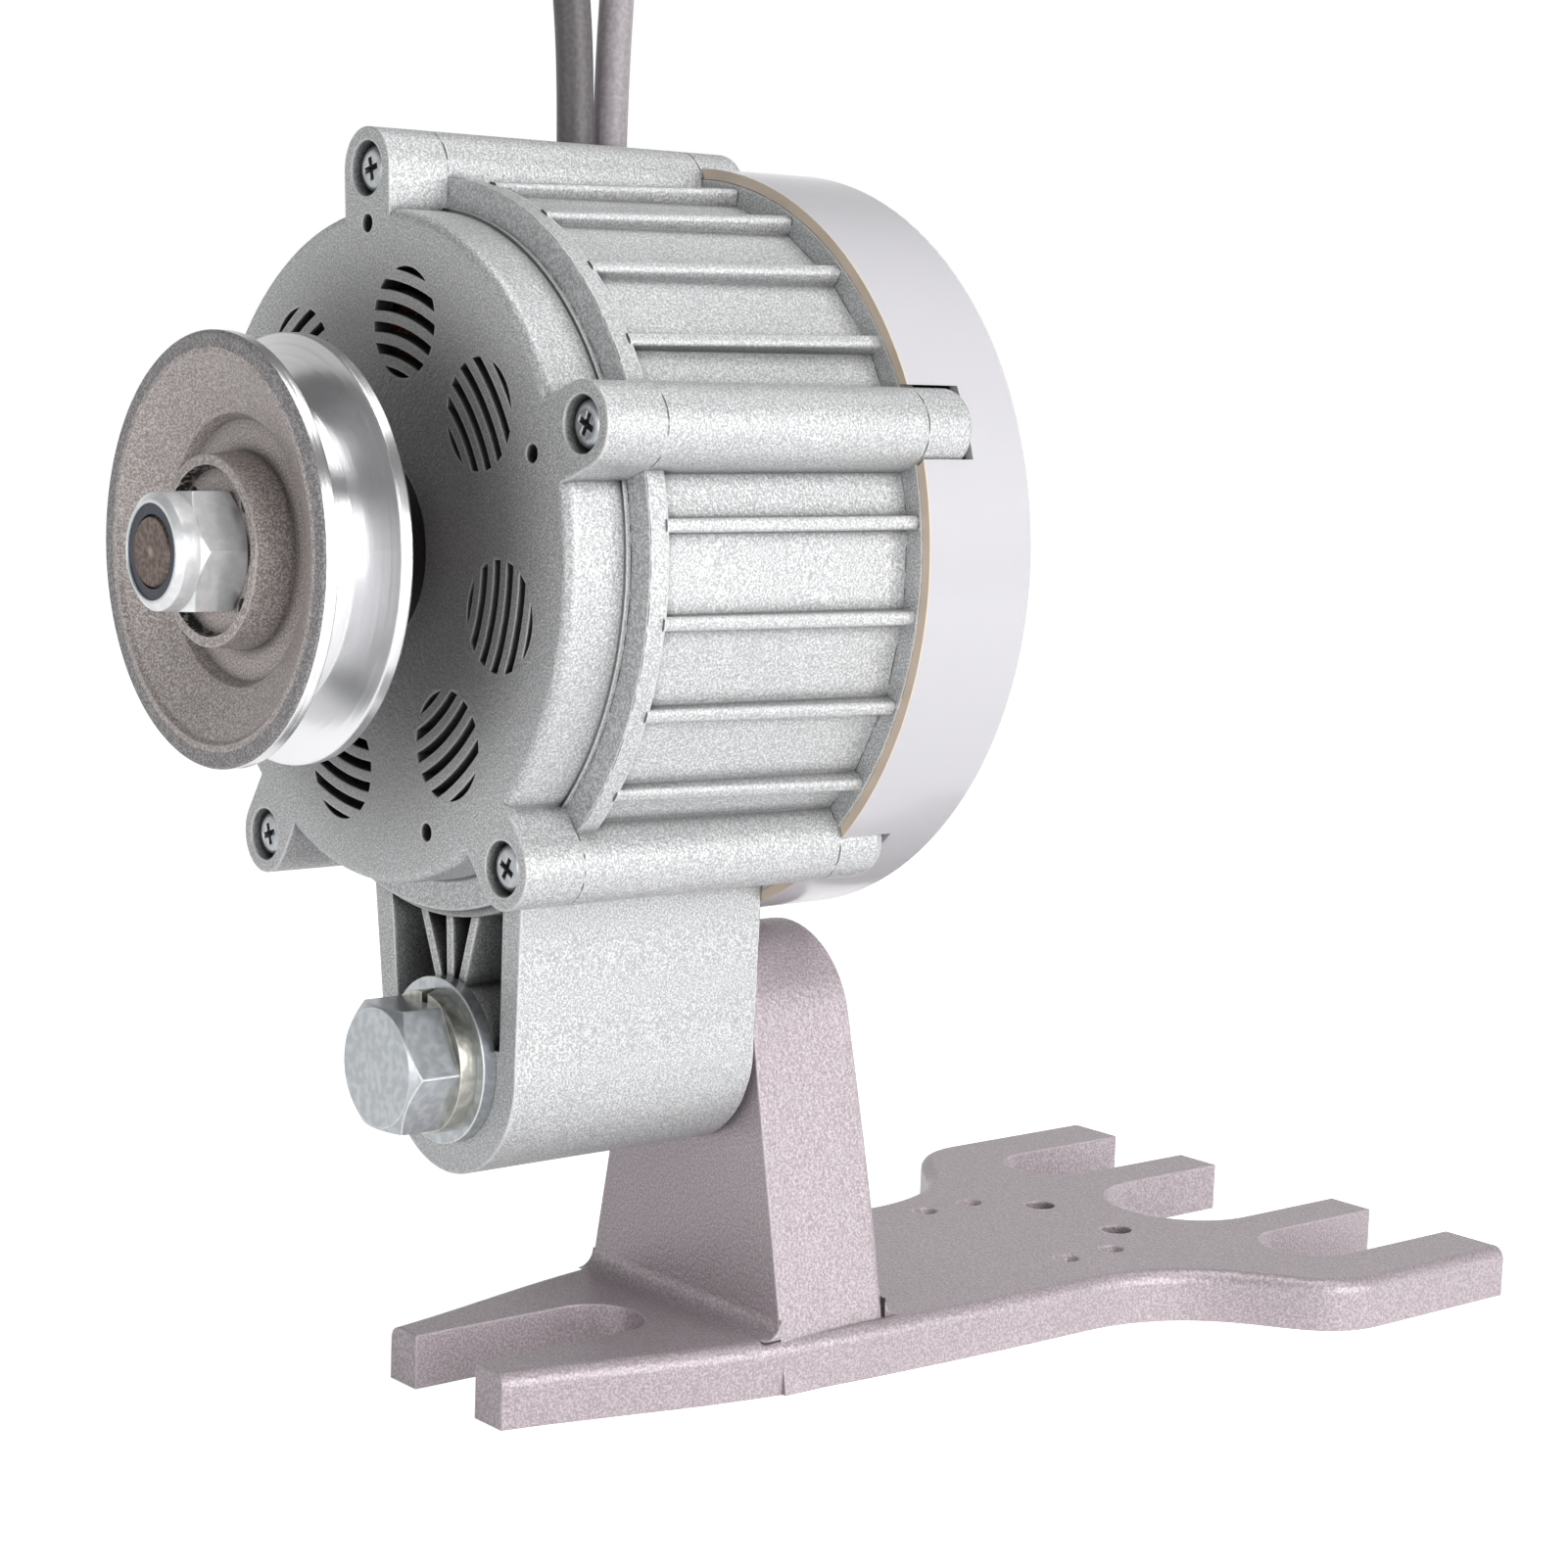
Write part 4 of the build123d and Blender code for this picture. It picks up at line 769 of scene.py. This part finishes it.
nylon_blue = new_finish("nylon_blue", (0.012, 0.02, 0.045), metallic=0.0, roughness=0.3)
add_grain(
    nylon_blue, grain=0.0006, fleck=0.0006, patch=0.01, depth=0.00004,
    light=(0.015, 0.026, 0.06), dark=(0.008, 0.014, 0.032),
)
bright_zinc = new_finish("bright_zinc_plate", (0.90, 0.91, 0.92), metallic=0.45, roughness=0.22)
# The nut's edges get a bright painted highlight and its creases painted shade.
add_grain(
    bright_zinc, grain=0.0014, fleck=0.0016, patch=0.006, depth=0.00002,
    light=(0.92, 0.93, 0.94), dark=(0.82, 0.835, 0.85),
    edge=0.0004, edge_highlight=(0.97, 0.97, 0.97), crease_shade=(0.45, 0.45, 0.45), reach=0.0012,
)
dress(shaft_steel, "shaft", "pulley_key")
dress(bright_zinc, "pulley_nut")
dress(nylon_blue, "nut_locking_ring")

# Bearings, their wave washer and the board's screws, all of bright ground steel.
# The front bearing sits behind the seal and the rear one in the shield.
ground_steel = new_finish("ground_steel", (0.66, 0.67, 0.69), metallic=1.0, roughness=0.22)
add_grain(
    ground_steel, grain=0.0007, fleck=0.0011, patch=0.01, depth=0.00002,
    light=(0.70, 0.71, 0.73), dark=(0.58, 0.59, 0.61),
)
dress(
    ground_steel, "front_bearing_outer", "front_bearing_inner", "front_bearing_balls",
    "rear_bearing_outer", "rear_bearing_inner", "rear_bearing_balls", "wave_washer", "board_screws",
)

# Rotor, stator, windings and the sensor's parts. Stacked steel, plated magnets and
# copper wire show only as dark shapes through the vents, and the green board and
# the dark plastic disc sit unseen under the cover.
core_steel = new_finish("core_steel", (0.16, 0.16, 0.17), metallic=0.8, roughness=0.5)
add_grain(
    core_steel, grain=0.0005, fleck=0.0005, patch=0.01, depth=0.00010,
    light=(0.20, 0.20, 0.21), dark=(0.11, 0.11, 0.12),
)
magnet_plate = new_finish("magnet_plate", (0.55, 0.55, 0.57), metallic=1.0, roughness=0.28)
add_grain(
    magnet_plate, grain=0.0008, fleck=0.0010, patch=0.01, depth=0.00003,
    light=(0.60, 0.60, 0.62), dark=(0.46, 0.46, 0.48),
)
copper_wire = new_finish("copper_wire", (0.22, 0.085, 0.04), metallic=0.85, roughness=0.4)
add_grain(
    copper_wire, grain=0.0006, fleck=0.0005, patch=0.008, depth=0.00025,
    light=(0.27, 0.105, 0.05), dark=(0.14, 0.05, 0.022),
)
board_green = new_finish("board_green", (0.02, 0.12, 0.06), metallic=0.0, roughness=0.35)
add_grain(
    board_green, grain=0.0008, fleck=0.0008, patch=0.012, depth=0.00004,
    light=(0.026, 0.145, 0.075), dark=(0.014, 0.09, 0.045),
)
disc_plastic = new_finish("disc_plastic", (0.03, 0.03, 0.034), metallic=0.0, roughness=0.5)
add_grain(
    disc_plastic, grain=0.0006, fleck=0.0005, patch=0.01, depth=0.00004,
    light=(0.036, 0.036, 0.04), dark=(0.022, 0.022, 0.026),
)
dress(core_steel, "stator_core", "rotor_core")
dress(magnet_plate, "magnets")
dress(copper_wire, "windings")
dress(board_green, "sensor_board")
dress(disc_plastic, "sensor_disc")

# Plugs. Off-white moulded nylon shells on the ends of the two cables. They lie on
# the floor beside the bracket.
plug_white = new_finish("plug_white", (0.66, 0.65, 0.61), metallic=0.0, roughness=0.4)
add_grain(
    plug_white, grain=0.0006, fleck=0.0009, patch=0.01, depth=0.00004,
    light=(0.70, 0.69, 0.65), dark=(0.60, 0.59, 0.55),
)
dress(plug_white, "power_plug", "signal_plug")

# Cables. Two round grey rubber leads of one make, the power lead painted dark as shade and the signal lead
# pale as light. They stand up out of the grommet, arch over the motor and hang down on its far side to their
# plugs.
# Each route is a list of points in millimetres.
# Painted shade and painted light: the same grey rubber, darker on the power lead and paler on the signal
# lead.
painted_shade_sheath = new_finish("painted_shade_cable_sheath", (0.115, 0.105, 0.11), metallic=0.0, roughness=0.42)
add_grain(
    painted_shade_sheath, grain=0.0007, fleck=0.0009, patch=0.02, depth=0.00006,
    light=(0.125, 0.115, 0.12), dark=(0.098, 0.088, 0.093),
)
painted_light_sheath = new_finish("painted_light_cable_sheath", (0.33, 0.305, 0.325), metallic=0.0, roughness=0.42)
add_grain(
    painted_light_sheath, grain=0.0007, fleck=0.0009, patch=0.02, depth=0.00006,
    light=(0.36, 0.33, 0.35), dark=(0.29, 0.262, 0.28),
)
power_points = [
    (-20.0, -16.0, 207.0), (-20.0, -16.0, 228.0), (-21.0, -18.0, 252.0), (-34.0, -10.0, 280.0),
    (-64.0, 12.5, 298.0), (-98.0, 37.5, 296.0), (-125.0, 56.5, 272.0), (-138.5, 69.0, 235.0),
    (-141.5, 72.5, 190.0), (-140.5, 73.0, 144.0), (-141.5, 73.0, 98.0), (-141.8, 73.0, 60.0),
    (-142.0, 73.0, 26.0), (-142.0, 81.0, 12.0), (-142.0, 95.0, 4.0), (-142.0, 111.0, 4.0),
]
signal_points = [
    (-20.0, -8.6, 207.0), (-20.0, -8.6, 228.0), (-20.5, -7.0, 251.0), (-32.0, 1.5, 275.0),
    (-61.0, 24.5, 291.0), (-94.0, 48.5, 289.0), (-121.0, 67.0, 266.0), (-135.0, 76.0, 231.0),
    (-137.5, 80.0, 188.0), (-135.5, 79.5, 143.0), (-132.0, 76.5, 98.0), (-128.5, 73.5, 60.0),
    (-127.0, 73.0, 25.0), (-127.0, 80.5, 11.5), (-127.0, 93.5, 4.0), (-127.0, 108.5, 4.0),
]


def cable(name, route, radius, sheath, stands_for):
    """A tube along a smooth curve led by the route's points."""
    curve = bpy.data.curves.new(name, "CURVE")
    curve.dimensions = "3D"
    line = curve.splines.new("NURBS")
    line.points.add(len(route) - 1)
    for point, (x, y, z) in zip(line.points, route):
        point.co = (x / 1000, y / 1000, z / 1000, 1)
    line.order_u = 3
    line.use_endpoint_u = True
    line.resolution_u = 12
    carrier = bpy.data.objects.new(name + "_line", curve)
    bpy.context.scene.collection.objects.link(carrier)
    bpy.context.view_layer.update()
    flat = bpy.data.meshes.new_from_object(carrier.evaluated_get(bpy.context.evaluated_depsgraph_get()))
    curve.bevel_depth = radius
    curve.bevel_resolution = 6
    curve.use_fill_caps = True
    bpy.context.view_layer.update()
    tube_mesh = bpy.data.meshes.new_from_object(carrier.evaluated_get(bpy.context.evaluated_depsgraph_get()))
    bpy.data.objects.remove(carrier)
    tube_mesh.materials.clear()
    tube_mesh.materials.append(sheath)
    tube_mesh.polygons.foreach_set("use_smooth", [True] * len(tube_mesh.polygons))
    tube = bpy.data.objects.new(name, tube_mesh)
    bpy.context.scene.collection.objects.link(tube)
    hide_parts(*stands_for)
    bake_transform(tube)


cable(
    "power_lead", power_points, radius=0.0033, sheath=painted_shade_sheath,
    stands_for=("power_cable", "power_cable_root"),
)
cable(
    "signal_lead", signal_points, radius=0.0031, sheath=painted_light_sheath,
    stands_for=("signal_cable", "signal_cable_root"),
)
